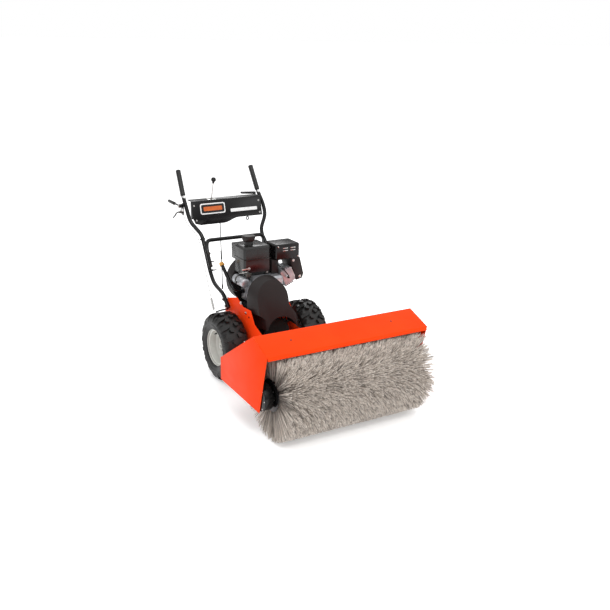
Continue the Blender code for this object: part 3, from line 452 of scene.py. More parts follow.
def brush_rows(rows=6, tufts=1400, strands=9):
    """Filaments in tufts that spread from the core; each row of wafers is a piece of its own."""
    low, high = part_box("brush_bristles")
    centre = (low + high) / 2
    radius = (high.z - low.z) / 2
    core_low, core_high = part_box("brush_core")
    root = (core_high.z - core_low.z) / 2 - 0.002
    half = (high.x - low.x) / 2
    # the chain case stands close to the left end, and there is more room at the right end
    left_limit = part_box("chain_case")[1].x + 0.003
    right_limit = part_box("hood_end_right")[0].x - 0.016
    points, faces = strand_shape()
    random = np.random.default_rng(11)
    for row in range(rows):
        count = tufts * strands
        row_low = -half + row * 2 * half / rows
        tuft_x = row_low + random.random(tufts) * 2 * half / rows
        tuft_angle = random.random(tufts) * 2 * pi
        # tufts lean a little along the axis and round it, and the last at the free end splay out
        end_pull = np.clip((tuft_x - half * 0.82) / (half * 0.18), 0, 1)
        tuft_lean = random.normal(0, 0.018, tufts) + end_pull * random.random(tufts) * 0.34
        tuft_lean += np.clip((-tuft_x - half * 0.9) / (half * 0.1), 0, 1) * -0.08
        tuft_swirl = random.normal(0, 0.01, tufts)
        x = np.repeat(tuft_x, strands) + random.normal(0, 0.005, count)
        x = np.clip(x, -half + 0.004, half - 0.004)
        angle = np.repeat(tuft_angle, strands) + random.normal(0, 0.03, count)
        lean = np.repeat(tuft_lean, strands) + random.normal(0, 0.045, count)
        swirl = np.repeat(tuft_swirl, strands) + random.normal(0, 0.012, count)
        length = (radius - root) * (1 - 0.2 * random.random(count) ** 1.6)
        thick = 0.0026 + 0.0011 * random.random(count)
        shade = np.repeat(random.random(tufts), strands) * 0.35 + random.random(count) * 0.65
        t = points[:, 2][None, :]
        run = t * length[:, None]
        away = root + run * np.cos(lean)[:, None]
        bent = angle[:, None] + swirl[:, None] * (t + 0.8 * t * t)
        side = x[:, None] + lean[:, None] * (run * (0.55 + 0.6 * t))
        side = np.clip(side, left_limit, right_limit)
        across = points[:, 0][None, :] * thick[:, None]
        round_it = points[:, 1][None, :] * thick[:, None]
        spin = random.random(count)[:, None] * pi
        px = side + across * np.cos(spin) - round_it * np.sin(spin)
        turn = bent + (across * np.sin(spin) + round_it * np.cos(spin)) / np.maximum(away, 0.05)
        away = np.minimum(away, radius * 0.999)
        verts = np.stack([centre.x + px, centre.y + away * np.cos(turn),
                          centre.z + away * np.sin(turn)], -1).reshape(-1, 3)
        step = len(points)
        polys = [[v + step * i for v in f] for i in range(count) for f in faces]
        mesh = bpy.data.meshes.new(f"bristles_{row + 1}")
        mesh.from_pydata(verts, [], polys)
        tone = mesh.attributes.new("tone", "FLOAT", "POINT")
        # painted shade: strands darken towards their roots in the core; the wide random tone per tuft and
        # strand is partly real variation and partly dark strands painted for the shaded gaps between tufts
        root_shade = 0.22 + 0.78 * np.clip((t - 0.15) / 0.75, 0, 1)
        values = (0.02 + 0.98 * shade[:, None] ** 1.15) * root_shade
        tone.data.foreach_set("value", values.reshape(-1).astype(np.float32))
        mesh.shade_smooth()
        mesh.materials.append(FILAMENT)
        belongs(bpy.data.objects.new(mesh.name, mesh), "brush", ("brush_bristles",))


# ---------------------------------------------------------------- wheels
def tyre(word):
    """Carcass with a rounded crown, and chunky lugs wrapped round it."""
    low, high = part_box(f"tyre_{word}")
    centre = (low + high) / 2
    radius, half = (high.z - low.z) / 2, (high.x - low.x) / 2
    bead = 0.1018
    lug = 0.017                         # height of the lugs over the carcass
    base = radius - lug
    outer = [(bead, 0.055), (0.11, 0.064), (0.115, 0.07), (0.13, 0.0765), (0.148, half - 0.002),
             (0.164, half - 0.0035), (0.176, half - 0.0085), (0.186, half - 0.019), (base, half - 0.04),
             (base + 0.002, 0.02)]
    profile = outer + [(r, -a) for r, a in reversed(outer)]
    profile += [(bead + 0.006, -0.046), (0.15, -half + 0.012), (base - 0.012, -half + 0.045),
                (base - 0.012, half - 0.045), (0.15, half - 0.012), (bead + 0.006, 0.046)]
    shapes = [turned(profile, "X", centre, 72)]
    for ring in (0.122, 0.1235, 0.14):
        side = 0.0735 if ring < 0.13 else 0.0795
        for way in (-1, 1):
            shapes.append(turned([(ring, way * side), (ring + 0.0022, way * (side + 0.0012)),
                                  (ring + 0.0022, way * (side - 0.003)), (ring, way * (side - 0.004))],
                                 "X", centre, 72))

    pitches = 17
    drawn = 22          # the lugs are drawn for this many pitches and stretched round to fit

    def wrapped(corners, foot, top):
        """A lug: corners are (round, across) in metres on the tread, foot and top are radii."""
        bm = prism(corners, 0.0, 1.0, "Z")
        flat = [e for e in bm.edges if abs(e.verts[0].co.z - e.verts[1].co.z) < 0.5]
        bmesh.ops.subdivide_edges(bm, edges=flat, cuts=1, use_grid_fill=True)
        for vert in bm.verts:
            u, w, level = vert.co
            shoulder = max(0.0, abs(w) - (half - 0.04)) / 0.04
            outer_radius = top - 0.03 * shoulder ** 2
            inner_radius = min(foot, outer_radius - lug * 0.9)
            r = inner_radius + (outer_radius - inner_radius) * level
            limit = half - 0.0005 - (0.004 if level > 0.5 else 0.0)
            a = u * drawn / pitches / radius
            vert.co = centre + Vector((max(-limit, min(limit, w)), r * sin(a), -r * cos(a)))
        bmesh.ops.recalc_face_normals(bm, faces=bm.faces)
        return bm

    pitch = 2 * pi * radius / drawn
    for i in range(pitches):
        start = i * pitch
        for way in (-1, 1):
            shift = start + (0 if way < 0 else pitch / 2)
            long_lug = [(shift, way * 0.03), (shift + 0.016, way * 0.026),
                        (shift + 0.026, way * 0.052), (shift + 0.026, way * half),
                        (shift + 0.006, way * half), (shift + 0.008, way * 0.056)]
            shapes.append(wrapped(long_lug, base - 0.004, radius))
            core = [(shift + 0.024, way * 0.004), (shift + 0.044, way * 0.012), (shift + 0.04, way * 0.03),
                    (shift + 0.028, way * 0.034), (shift + 0.02, way * 0.018)]
            shapes.append(wrapped(core, base - 0.004, radius))
            tie = [(shift + 0.036, way * 0.06), (shift + 0.05, way * 0.058), (shift + 0.05, way * half),
                   (shift + 0.038, way * half)]
            shapes.append(wrapped(tie, base - 0.01, radius - 0.006))
    piece(f"tyre_{word}_tread", shapes, TYRE, "drive_axle", (f"tyre_{word}",), 30)


def rim(word, side):
    """Pressed steel rim with rolled lips, four small bosses, a hub and a valve."""
    centre = middle(f"tyre_{word}")
    profile = [(0.112, -0.0668), (0.1105, -0.06), (0.1022, -0.056), (0.1014, -0.044), (0.096, -0.03),
               (0.096, 0.03), (0.1014, 0.044), (0.1022, 0.056), (0.1105, 0.06), (0.112, 0.0668),
               (0.11, 0.0688), (0.1078, 0.0668), (0.1078, 0.061), (0.099, 0.057), (0.098, 0.044),
               (0.093, 0.03), (0.0925, 0.022), (0.08, 0.012), (0.062, 0.0135), (0.048, 0.02),
               (0.036, 0.02), (0.03, 0.008), (0.019, 0.006), (0.019, 0.03), (0.0105, 0.03),
               (0.0105, -0.06), (0.019, -0.06), (0.019, 0.003), (0.031, 0.005), (0.037, 0.017),
               (0.047, 0.017), (0.061, 0.0105), (0.0805, 0.009), (0.0925, 0.018), (0.0925, -0.03),
               (0.098, -0.044), (0.099, -0.057), (0.1078, -0.061), (0.1078, -0.0668), (0.11, -0.0688)]
    shapes = [turned([(r, side * a) for r, a in profile], "X", centre, 72)]
    bosses = 4
    for i in range(bosses):
        a = 2 * pi * (i + 0.3) / bosses
        spot = centre + Vector((side * 0.0105, 0.071 * cos(a), 0.071 * sin(a)))
        shapes.append(rod(spot, spot + Vector((side * 0.0035, 0, 0)), 0.0085, 20, 0.007))
    piece(f"rim_{word}_pressing", shapes, RIM, "drive_axle", (f"rim_{word}",), 32)
    spot = centre + Vector((side * 0.02, 0.03, 0.083))
    neck, tip = spot + Vector((side * 0.022, 0, -0.006)), spot + Vector((side * 0.036, 0, -0.01))
    valve = joined(rod(spot, neck, 0.0048, 16, 0.004), rod(neck, tip, 0.004, 12))
    piece(f"valve_{word}", valve, TYRE, "drive_axle")


# ---------------------------------------------------------------- hood and head
def hood():
    """Folded hood with its weld beads in a painted fold highlight, plugs and fixing bolts."""
    skin("hood_cover", ORANGE, 0.0022, 3)
    ridge, front, back = at(0, -0.792, 0.558), at(0, -0.947, 0.499), at(0, -0.409, 0.315)
    for word, side in SIDES:
        skin(f"hood_end_{word}", ORANGE, 0.0009, 2)
        low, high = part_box(f"hood_end_{word}")
        face = low.x if side < 0 else high.x
        spots = [at(face, y, z) - Vector((side * 0.003, 0, 0)) for y, z in
                 ((-0.8, 0.3), (-0.775, 0.275), (-0.52, 0.245), (-0.7, 0.5), (-0.56, 0.385))]
        bolts(f"hood_bolts_{word}", spots, (side, 0, 0), 0.0045, 0.0026, False, body="brush_head")
        # bead where the end sheet meets the folded cover, coloured lighter as a painted highlight along the
        # fold
        inset = Vector((0, 0, -0.0022))
        x = Vector((side * 0.4888, 0, 0))
        seam = [back + x + inset, ridge + x + inset, front + x + inset + Vector((0, 0.003, 0))]
        bar(f"hood_fold_highlight_{word}", rounded_path(seam, 0.004), 0.0014, FOLD_HIGHLIGHT, "brush_head")
    slope = (front - ridge).normalized()
    normal = Vector((0, slope.z, -slope.y)).normalized()
    plugs = []
    for x in (-0.31, 0.31):
        spot = at(x, -0.86, 0.5575 - 0.026) + normal * 0.0004
        plugs.append(rod(spot - normal * 0.002, spot + normal * 0.001, 0.0052, 20, width=0.0005))
    piece("hood_plugs", plugs, MAROON, "brush_head")
    # small gusset low inside each end
    for word, side in SIDES:
        end = side * 0.4875
        near, far = min(end, end - side * 0.035), max(end, end - side * 0.035)
        gusset = block(at(near, -0.56, 0.215), at(far, -0.44, 0.219), 0.0008)
        piece(f"hood_gusset_{word}", gusset, ORANGE, "brush_head")


def head():
    """Nose, pivot bracket, beam, gearbox, chain case and the brush's drum with its ends."""
    skin("head_frame", BLACK, 0.0022, 3)
    skin("nose_plate", BLACK, 0.0008)
    skin("pivot_bracket", BLACK, 0.0012)
    skin("gearbox", ALLOY, 0.0012)
    low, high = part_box("gearbox")
    spots = [(x, y, high.z - 0.0002) for x in (low.x + 0.012, high.x - 0.012)
             for y in (low.y + 0.012, high.y - 0.012)]
    bolts("gearbox_bolts", spots, (0, 0, 1), 0.005, body="brush_head")
    lid = block((low.x + 0.004, low.y + 0.004, high.z + 0.0003),
                (high.x - 0.004, high.y - 0.004, high.z + 0.0024), 0.0008)
    piece("gearbox_lid", lid, ALLOY, "brush_head")
    skin("chain_case", BLACK, 0.0014)
    skin("chain_cover", BLACK, 0.0009)
    low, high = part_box("chain_cover")
    rear, front = at(0, -0.505, 0.29), at(0, -0.8485, 0.248)
    spots = []
    for centre, radius, turns in ((rear, 0.038, (60, 120, 0)), (front, 0.062, (180, 130, 230, 290))):
        spots += [(low.x + 0.0002, centre.y + radius * cos(a), centre.z + radius * sin(a))
                  for a in map(radians, turns)]
    bolts("chain_case_bolts", spots, (-1, 0, 0), 0.004, 0.003, False, body="brush_head")
    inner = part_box("chain_case")[1].x
    # bearing flange on the brush side of the case, with its bolts
    flange = [(0.016, 0.0), (0.052, 0.0), (0.052, 0.004), (0.03, 0.006), (0.026, 0.013), (0.016, 0.013)]
    rings = turned([(r, inner + a) for r, a in flange], "X", Vector((0, front.y, front.z)), 40)
    for a in (0.5, 2.07, 3.64, 5.21):
        spot = (inner + 0.004, front.y + 0.041 * cos(a), front.z + 0.041 * sin(a))
        rings = joined(rings, bolt(spot, (1, 0, 0), 0.005, 0.004, False))
    piece("bearing_flange", rings, DARK_STEEL, "brush_head")
    # core drum of the brush, its end discs and drive bolts
    low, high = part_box("brush_core")
    centre = (low + high) / 2
    axis = Vector((0, centre.y, centre.z))
    radius = (high.z - low.z) / 2
    drum = [(0.015, low.x), (radius, low.x), (radius, high.x), (0.015, high.x), (0.015, high.x - 0.004),
            (radius - 0.004, high.x - 0.004), (radius - 0.004, low.x + 0.004), (0.015, low.x + 0.004)]
    piece("brush_drum", turned(drum, "X", axis, 48), BLACK, "brush", ("brush_core",))
    for word, x, way in (("left", low.x, -1), ("right", high.x, 1)):
        spider = []
        for i in range(6):
            a = radians(60 * i + 15)
            out = Vector((0, cos(a), sin(a)))
            spot = Vector((x, centre.y, centre.z)) + out * 0.042
            spider.append(bolt(spot, (way, 0, 0), 0.0055, 0.0045))
        hub = [(0.014, 0.0), (0.026, 0.0), (0.024, way * 0.01), (0.014, way * 0.01)]
        spider.append(turned([(r, x + a) for r, a in hub], "X", axis, 32))
        piece(f"drum_end_{word}", spider, DARK_STEEL, "brush")
    # black retainer disc at each end of the row of wafers
    disc = [(0.03, 0.001), (0.082, 0.001), (0.086, 0.003), (0.082, 0.005), (0.03, 0.005)]
    for word, x, way in (("left", low.x, -1), ("right", high.x, 1)):
        ring = turned([(r, x + way * a) for r, a in disc], "X", axis, 48)
        piece(f"retainer_{word}", ring, BLACK, "brush")
    # bearing plate on the right hood end
    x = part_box("hood_end_right")[1].x
    plate = [(0.001, x - 0.0008), (0.03, x - 0.0008), (0.03, x - 0.0002), (0.001, x - 0.0002)]
    piece("bearing_plate_right", turned(plate, "X", axis, 40), BLACK, "brush_head")


# ---------------------------------------------------------------- chassis and belt cover
def chassis():
    """Side plates with their bolts and axle bearings, the pan and deck, and the axle's ends."""
    for word, side in SIDES:
        skin(f"chassis_side_{word}", ORANGE, 0.0009, 2)
        face = side * PLATE_X
        heads = [bolt(at(face, y, z), (side, 0, 0), r, None, True)
                 for y, z, r in ((-0.031, 0.47, 0.0062), (-0.097, 0.427, 0.0062), (-0.278, 0.33, 0.006),
                                 (0.16, 0.25, 0.0055), (-0.15, 0.16, 0.005))
                 if side < 0 or z < 0.3]
        piece(f"chassis_bolts_{word}", heads, STEEL)
        # axle bearing plate
        plate = turned([(0.0125, face + side * 0.0002), (0.034, face + side * 0.0002),
                        (0.032, face + side * 0.0045), (0.02, face + side * 0.006),
                        (0.0125, face + side * 0.006)], "X", at(0, 0, AXLE_Z), 36)
        for a in (0.8, 2.37, 3.94, 5.5):
            spot = at(face + side * 0.004, 0.027 * cos(a), AXLE_Z + 0.027 * sin(a))
            plate = joined(plate, bolt(spot, (side, 0, 0), 0.004, 0.003, False))
        piece(f"axle_bearing_{word}", plate, DARK_STEEL)
    for node in ("belly_pan", "engine_deck"):
        skin(node, BLACK, 0.0008)
    # painted shade: a thin black disc stands for the dark inside of a hole in the plate
    spot = at(-0.1802, -0.136, 0.411)
    piece("chassis_hole", rod(spot - Vector((0.0012, 0, 0)), spot, 0.0062, 20), BLACK)
    # axle ends: washer and click pin outside each hub
    low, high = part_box("axle_shaft")
    for word, x, side in (("left", low.x, -1), ("right", high.x, 1)):
        centre = at(x, 0, AXLE_Z)
        washer = rod(centre + Vector((-side * 0.001, 0, 0)), centre + Vector((side * 0.003, 0, 0)),
                     0.009, 24, width=0.001)
        pin = rod(centre + Vector((-side * 0.006, 0, -0.015)), centre + Vector((-side * 0.006, 0, 0.015)),
                  0.0028, 12)
        piece(f"axle_end_{word}", joined(washer, pin), STEEL, "drive_axle")


def belt_cover():
    """Moulded cover with a soft edge, and its fixing bolt."""
    skin("belt_cover", PLASTIC, 0.005, 3, 55)
    bolts("cover_bolt", [at(0.099, -0.17, 0.392)], (0.4, -1, 0.2), 0.0058, mat=DARK_STEEL)


# ---------------------------------------------------------------- handles and controls
HANDLE = [(0.1932, 0.116, 0.399), (0.1932, 0.145, 0.427), (0.195, 0.185, 0.47), (0.2, 0.309, 0.506),
          (0.202, 0.359, 0.568), (0.21, 0.424, 0.725), (0.209, 0.459, 0.783), (0.267, 0.507, 0.866),
          (0.27, 0.545, 0.931), (0.265, 0.612, 1.004), (0.258, 0.704, 1.157)]
TUBE = 0.0125


def handles():
    """Two bent tubes joined by a brace, with grips, clamps and cable clips."""
    for word, side in SIDES:
        route = [at(side * x, y, z) for x, y, z in HANDLE]
        bar(f"tube_{word}", rounded_path(route, 0.035, 8), TUBE, BLACK, "chassis",
            (f"handlebar_{word}",), 5)
        top, base = route[-1], route[-2]
        along = (top - base).normalized()
        start, end = base + along * 0.012, top + along * 0.0038
        turn = along.to_track_quat("Z", "Y").to_matrix().to_4x4()
        reach = (end - start).length
        sleeve = [(TUBE + 0.0003, 0.0), (0.016, 0.0), (0.0165, 0.002), (0.0165, 0.006), (0.0156, 0.008)]
        ribs = 11
        for i in range(ribs):
            low = 0.012 + i * (reach - 0.026) / ribs
            sleeve += [(0.0156, low), (0.0162, low + 0.0015), (0.0162, low + 0.0065),
                       (0.0156, low + 0.008)]
        sleeve += [(0.0162, reach - 0.01), (0.016, reach - 0.003), (0.013, reach), (0.0, reach),
                   (0.0, reach - 0.0028), (TUBE + 0.0003, reach - 0.0028)]
        grip = turned(sleeve, "Z", (0, 0, 0), 32)
        bmesh.ops.transform(grip, matrix=Matrix.Translation(start) @ turn, verts=grip.verts)
        piece(f"grip_sleeve_{word}", grip, GRIP, "chassis", (f"grip_{word}",), 30)
        # bolt and nut that hold the panel, by the foot of the grip
        spot = base + Vector((0, -TUBE * 0.9, 0))
        piece(f"grip_bolt_{word}", bolt(spot, (0, -1, 0.25), 0.0075, 0.006), WHITE)
        spots = [at(side * (0.194 + TUBE), y, z) for y, z in ((0.127, 0.41), (0.16, 0.443))]
        bolts(f"handle_bolts_{word}", spots, (side, 0, 0), 0.007, mat=DARK_STEEL)
    legs = [(0.2036, 0.3435, 0.6), (0.2095, 0.3878, 0.705), (0.196, 0.415, 0.757)]
    route = [at(-x, y, z) for x, y, z in legs] + [at(x, y, z) for x, y, z in reversed(legs)]
    bar("brace_tube", rounded_path(route, 0.055, 8), TUBE, BLACK, "chassis", ("handle_brace",), 5)
    # cable clips and a strap on the left tube, bolts of the brace
    clips = []
    for x, y, z in ((-0.1995, 0.346, 0.582), (-0.2005, 0.366, 0.632)):
        spot = at(x + 0.012, y - 0.01, z)
        clips.append(rod(spot, spot + Vector((0.02, -0.004, 0.006)), 0.0045, 12, 0.0015))
        clips.append(rod(at(x, y, z - 0.004), at(x, y, z + 0.004), TUBE + 0.0016, 24, width=0.0006))
    spot = at(-0.2095, 0.444, 0.76)
    clips.append(rod(spot - Vector((0, 0.003, 0.005)), spot + Vector((0, 0.003, 0.005)),
                     TUBE + 0.0018, 24, width=0.0006))
    clips.append(rod(spot + Vector((-0.012, 0, 0)), spot + Vector((-0.021, -0.002, 0.001)), 0.0038, 12))
    piece("cable_clips", clips, BLACK)
    spots = [at(side * 0.205, y - TUBE, z) for side in (-1, 1)
             for y, z in ((0.348, 0.615), (0.378, 0.685))]
    bolts("brace_bolts", spots, (0, -1, 0.2), 0.0065, mat=DARK_STEEL)


def dash():
    """Panel with a plain badge and stripe, a ring tab, the selector gate, a rolled edge and ribs."""
    skin("dash_panel", BLACK, 0.0007, 2)
    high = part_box("dash_panel")[1]
    front = at(0, 0.539, 0.986)
    lean = 0.266

    def on_face(x, z, proud):
        return Vector((x, front.y + (z - front.z) * lean - proud, z))

    def label(x, z, width, height, corner, proud, thick):
        """Rounded plate lying on the leaning face."""
        outline = []
        for cx, cz, begin in ((1, 1, 0), (-1, 1, 90), (-1, -1, 180), (1, -1, 270)):
            for i in range(7):
                a = radians(begin + 15 * i)
                outline.append((x + cx * (width / 2 - corner) + corner * cos(a),
                                z + cz * (height / 2 - corner) + corner * sin(a)))
        bm = prism(outline, 0.0, thick, "Y")
        for vert in bm.verts:
            vert.co = on_face(vert.co.x, vert.co.z, proud - vert.co.y)
        return bm

    piece("badge_border", label(-0.102, 0.934, 0.172, 0.066, 0.012, 0.0012, 0.0012), WHITE)
    piece("badge_field", label(-0.102, 0.934, 0.158, 0.052, 0.008, 0.0018, 0.0006), TANK)
    piece("badge_panel", label(-0.102, 0.934, 0.128, 0.026, 0.006, 0.0024, 0.0006), BADGE)
    piece("stripe", label(0.116, 0.912, 0.19, 0.02, 0.004, 0.0012, 0.0012), WHITE)
    spots = [on_face(x, z, 0.0002) for x, z in
             ((-0.228, 0.958), (-0.222, 0.868), (0.228, 0.958), (0.228, 0.884))]
    bolts("panel_bolts", spots, (0, -1, lean), 0.0036)
    # ring tab under the right half
    ring = turned([(0.0065, -0.0015), (0.0125, -0.0015), (0.0125, 0.0015), (0.0065, 0.0015)], "Y",
                  on_face(0.135, 0.853, -0.0012), 28)
    piece("ring_tab", ring, BLACK)
    # selector gate and its scale on the shelf
    gate = block((-0.122, front.y + 0.006, high.z + 0.0003),
                 (-0.068, front.y + 0.066, high.z + 0.0016), 0.0005)
    piece("gate_plate", gate, STEEL)
    # painted shade: a dark strip on the gate plate stands for the dark of the slot
    slot = block((-0.1065, front.y + 0.01, high.z + 0.0014), (-0.0865, front.y + 0.062, high.z + 0.002))
    piece("gate_slot", slot, TANK)
    marks = [block((-0.082, front.y + 0.012 + 0.007 * i, high.z + 0.0016),
                   (-0.072, front.y + 0.0135 + 0.007 * i, high.z + 0.0021)) for i in range(8)]
    piece("gate_marks", marks, TANK)
    rim = rounded_path([Vector((x, front.y + y, high.z - 0.0035)) for x, y in
                        ((-0.2415, 0.0025), (0.2415, 0.0025))], 0.01)
    bar("panel_fold", rim, 0.0032, BLACK)
    back = [block((x - 0.004, front.y + 0.004, 0.87), (x + 0.004, front.y + 0.03, 0.978), 0.001)
            for x in (-0.232, 0.232)]
    piece("panel_ribs", back, BLACK)


def controls():
    """Speed lever with its knob, traction lever, lock trigger, brush lever and rod."""
    pivot, knob = at(-0.1, 0.575, 0.9), at(-0.09, 0.532, 1.115)
    along = (knob - pivot).normalized()
    stem = rod(pivot, knob - along * 0.01, 0.0038, 20)
    hub = rod(pivot - Vector((0.006, 0, 0)), pivot + Vector((0.044, 0, 0)), 0.008, 24, width=0.0008)
    horn = block(pivot + Vector((0.04, -0.046, -0.006)), pivot + Vector((0.044, 0, 0.006)), 0.001)
    piece("speed_stem", joined(stem, hub, horn), STEEL, "speed_lever", ("speed_lever",))
    ball = bmesh.new()
    bmesh.ops.create_uvsphere(ball, u_segments=32, v_segments=20, radius=0.0158,
                              matrix=Matrix.Translation(knob))
    collar = rod(knob - along * 0.024, knob - along * 0.012, 0.0062, 20, 0.0085)
    piece("speed_knob", joined(ball, collar), BLACK, "speed_lever")

    pivot = at(-0.3, 0.585, 0.955)
    end = Vector((pivot.x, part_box("traction_lever")[1].y - 0.002, pivot.z))
    stem = [rod(pivot, end - Vector((0, 0.08, 0)), 0.0058, 20),
            rod(pivot - Vector((0.01, 0, 0)), pivot + Vector((0.0133, 0, 0)), 0.0118, 28, width=0.001)]
    piece("traction_stem", stem, BLACK, "traction_lever", ("traction_lever",))
    sleeve = rod(end - Vector((0, 0.096, 0)), end, 0.0108, 28, 0.0102, 0.002)
    piece("traction_sleeve", sleeve, GRIP, "traction_lever")
    nut = bolt(pivot + Vector((-0.0102, 0, 0)), (-1, 0, 0), 0.0065, 0.005)
    piece("traction_nut", nut, STEEL, "traction_lever")
    # bracket that carries both left-hand levers
    plate = [(0.56, 0.9), (0.56, 0.968), (0.572, 0.975), (0.6, 0.965), (0.604, 0.905), (0.59, 0.896)]
    bracket = prism([(y + AXLE_Y, z) for y, z in plate], -0.2868, -0.284, "X", 0.0006)
    piece("lever_bracket", bracket, BLACK)
    piece("bracket_bolt", bolt(at(-0.2868, 0.572, 0.93), (-1, 0, 0), 0.0065), WHITE)
    skin("lock_trigger", BLACK, 0)
    hinge = at(-0.3, 0.585, 0.915)
    boss = rod(hinge - Vector((0.007, 0, 0)), hinge + Vector((0.012, 0, 0)), 0.0075, 24, width=0.0008)
    piece("trigger_boss", boss, DARK_STEEL, "lock_trigger")
    skin("brush_lever", BLACK, 0.0025, 3)
    skin("clutch_arm", BLACK, 0)

    top, foot = at(-0.049, 0.535, 0.89), at(-0.14, 0.312, 0.458)
    along = (foot - top).normalized()
    piece("shift_rod_line", rod(top, foot, 0.0029, 16), BLACK, "shift_rod", ("shift_rod",))
    span = (foot - top).length
    turnbuckle = joined(rod(top + along * span * 0.5, top + along * span * 0.6, 0.0046, 20,
                            width=0.0006),
                        rod(top + along * span * 0.6, top + along * span * 0.605, 0.0062, 6),
                        rod(top + along * span * 0.495, top + along * span * 0.5, 0.0062, 6))
    piece("turnbuckle", turnbuckle, BLACK, "shift_rod")
    clevis = rod(foot - along * 0.03, foot - along * 0.002, 0.0052, 16, width=0.0006)
    piece("rod_clevis", clevis, DARK_STEEL, "shift_rod")
    skin("shift_arm", STEEL, 0.0005)


def cable():
    """Traction cable as one thin line, with a spring round its lowest run."""
    route = [at(*p) for p in ((-0.238, 0.23, 0.356), (-0.237, 0.275, 0.425), (-0.233, 0.32, 0.49),
                              (-0.229, 0.372, 0.575), (-0.233, 0.428, 0.715), (-0.235, 0.462, 0.775),
                              (-0.292, 0.508, 0.86), (-0.296, 0.545, 0.91), (-0.31, 0.57, 0.94))]
    smooth = rounded_path(route, 0.03, 8)
    bar("cable_line", smooth, 0.0016, DARK_STEEL, "chassis", ("traction_cable",), 3)
    low, high = route[0], route[1]
    along = (high - low).normalized()
    side = along.orthogonal().normalized()
    other = along.cross(side)
    coils, reach, radius = 15, (high - low).length * 0.92, 0.0072
    helix = []
    steps = coils * 14
    for i in range(steps + 1):
        a = 2 * pi * coils * i / steps
        out = side * cos(a) + other * sin(a)
        helix.append(low + along * (0.004 + reach * i / steps) + out * radius)
    bar("return_spring", helix, 0.0015, STEEL, "chassis", (), 2)


# ---------------------------------------------------------------- engine
def crankcase():
    """Cast block with ribs and cover bolts, the finned head, its rocker cover and spark plug."""
    skin("engine_block", ALLOY, 0.0045, 3, 50)
    left, front = at(-0.104, -0.085, 0).xy
    ribs = [block((left - 0.0022, y - 0.003, 0.462), (left + 0.001, y + 0.003, 0.54), 0.001)
            for y in np.linspace(front + 0.03, front + 0.15, 6)]
    ribs.append(block((left - 0.0045, front + 0.012, 0.545), (left + 0.001, front + 0.19, 0.553), 0.0015))
    piece("crankcase_ribs", ribs, ALLOY)
    spots = [(left - 0.0002, y, z) for y in (front + 0.022, front + 0.186) for z in (0.458, 0.59)]
    bolts("crankcase_bolts", spots, (-1, 0, 0), 0.0055)
    skin("cylinder_head", ALLOY, 0.0006, 1, 30)
    lean = Matrix.Rotation(radians(-25), 4, "Y")
    base = Matrix.Translation(at(0.098, 0.01, 0.585)) @ lean
    cover = block((0.075, -0.046, -0.036), (0.0835, 0.046, 0.036), 0.0035, 3)
    for y in (-0.036, 0.036):
        for z in (-0.027, 0.027):
            cover = joined(cover, bolt((0.0834, y, z), (1, 0, 0), 0.0045, 0.003, False))
    bmesh.ops.transform(cover, matrix=base, verts=cover.verts)
    piece("rocker_cover", cover, STEEL)
    plug = joined(rod((0.03, -0.055, 0.0), (0.03, -0.062, 0.0), 0.0085, 6),
                  rod((0.03, -0.062, 0.0), (0.03, -0.07, 0.0), 0.005, 16))
    bmesh.ops.transform(plug, matrix=base, verts=plug.verts)
    piece("spark_plug", plug, WHITE)
    boot = rod((0.03, -0.066, 0.0), (0.03, -0.082, 0.0), 0.0075, 20, 0.006, 0.001)
    bmesh.ops.transform(boot, matrix=base, verts=boot.verts)
    piece("plug_boot", boot, TANK)
    start = base @ Vector((0.03, -0.08, 0.0))
    lead = rounded_path([start, start + Vector((-0.006, -0.006, 0.014)), at(0.085, -0.058, 0.66),
                         at(0.06, -0.026, 0.685)], 0.012)
    bar("plug_lead", lead, 0.0034, TANK)


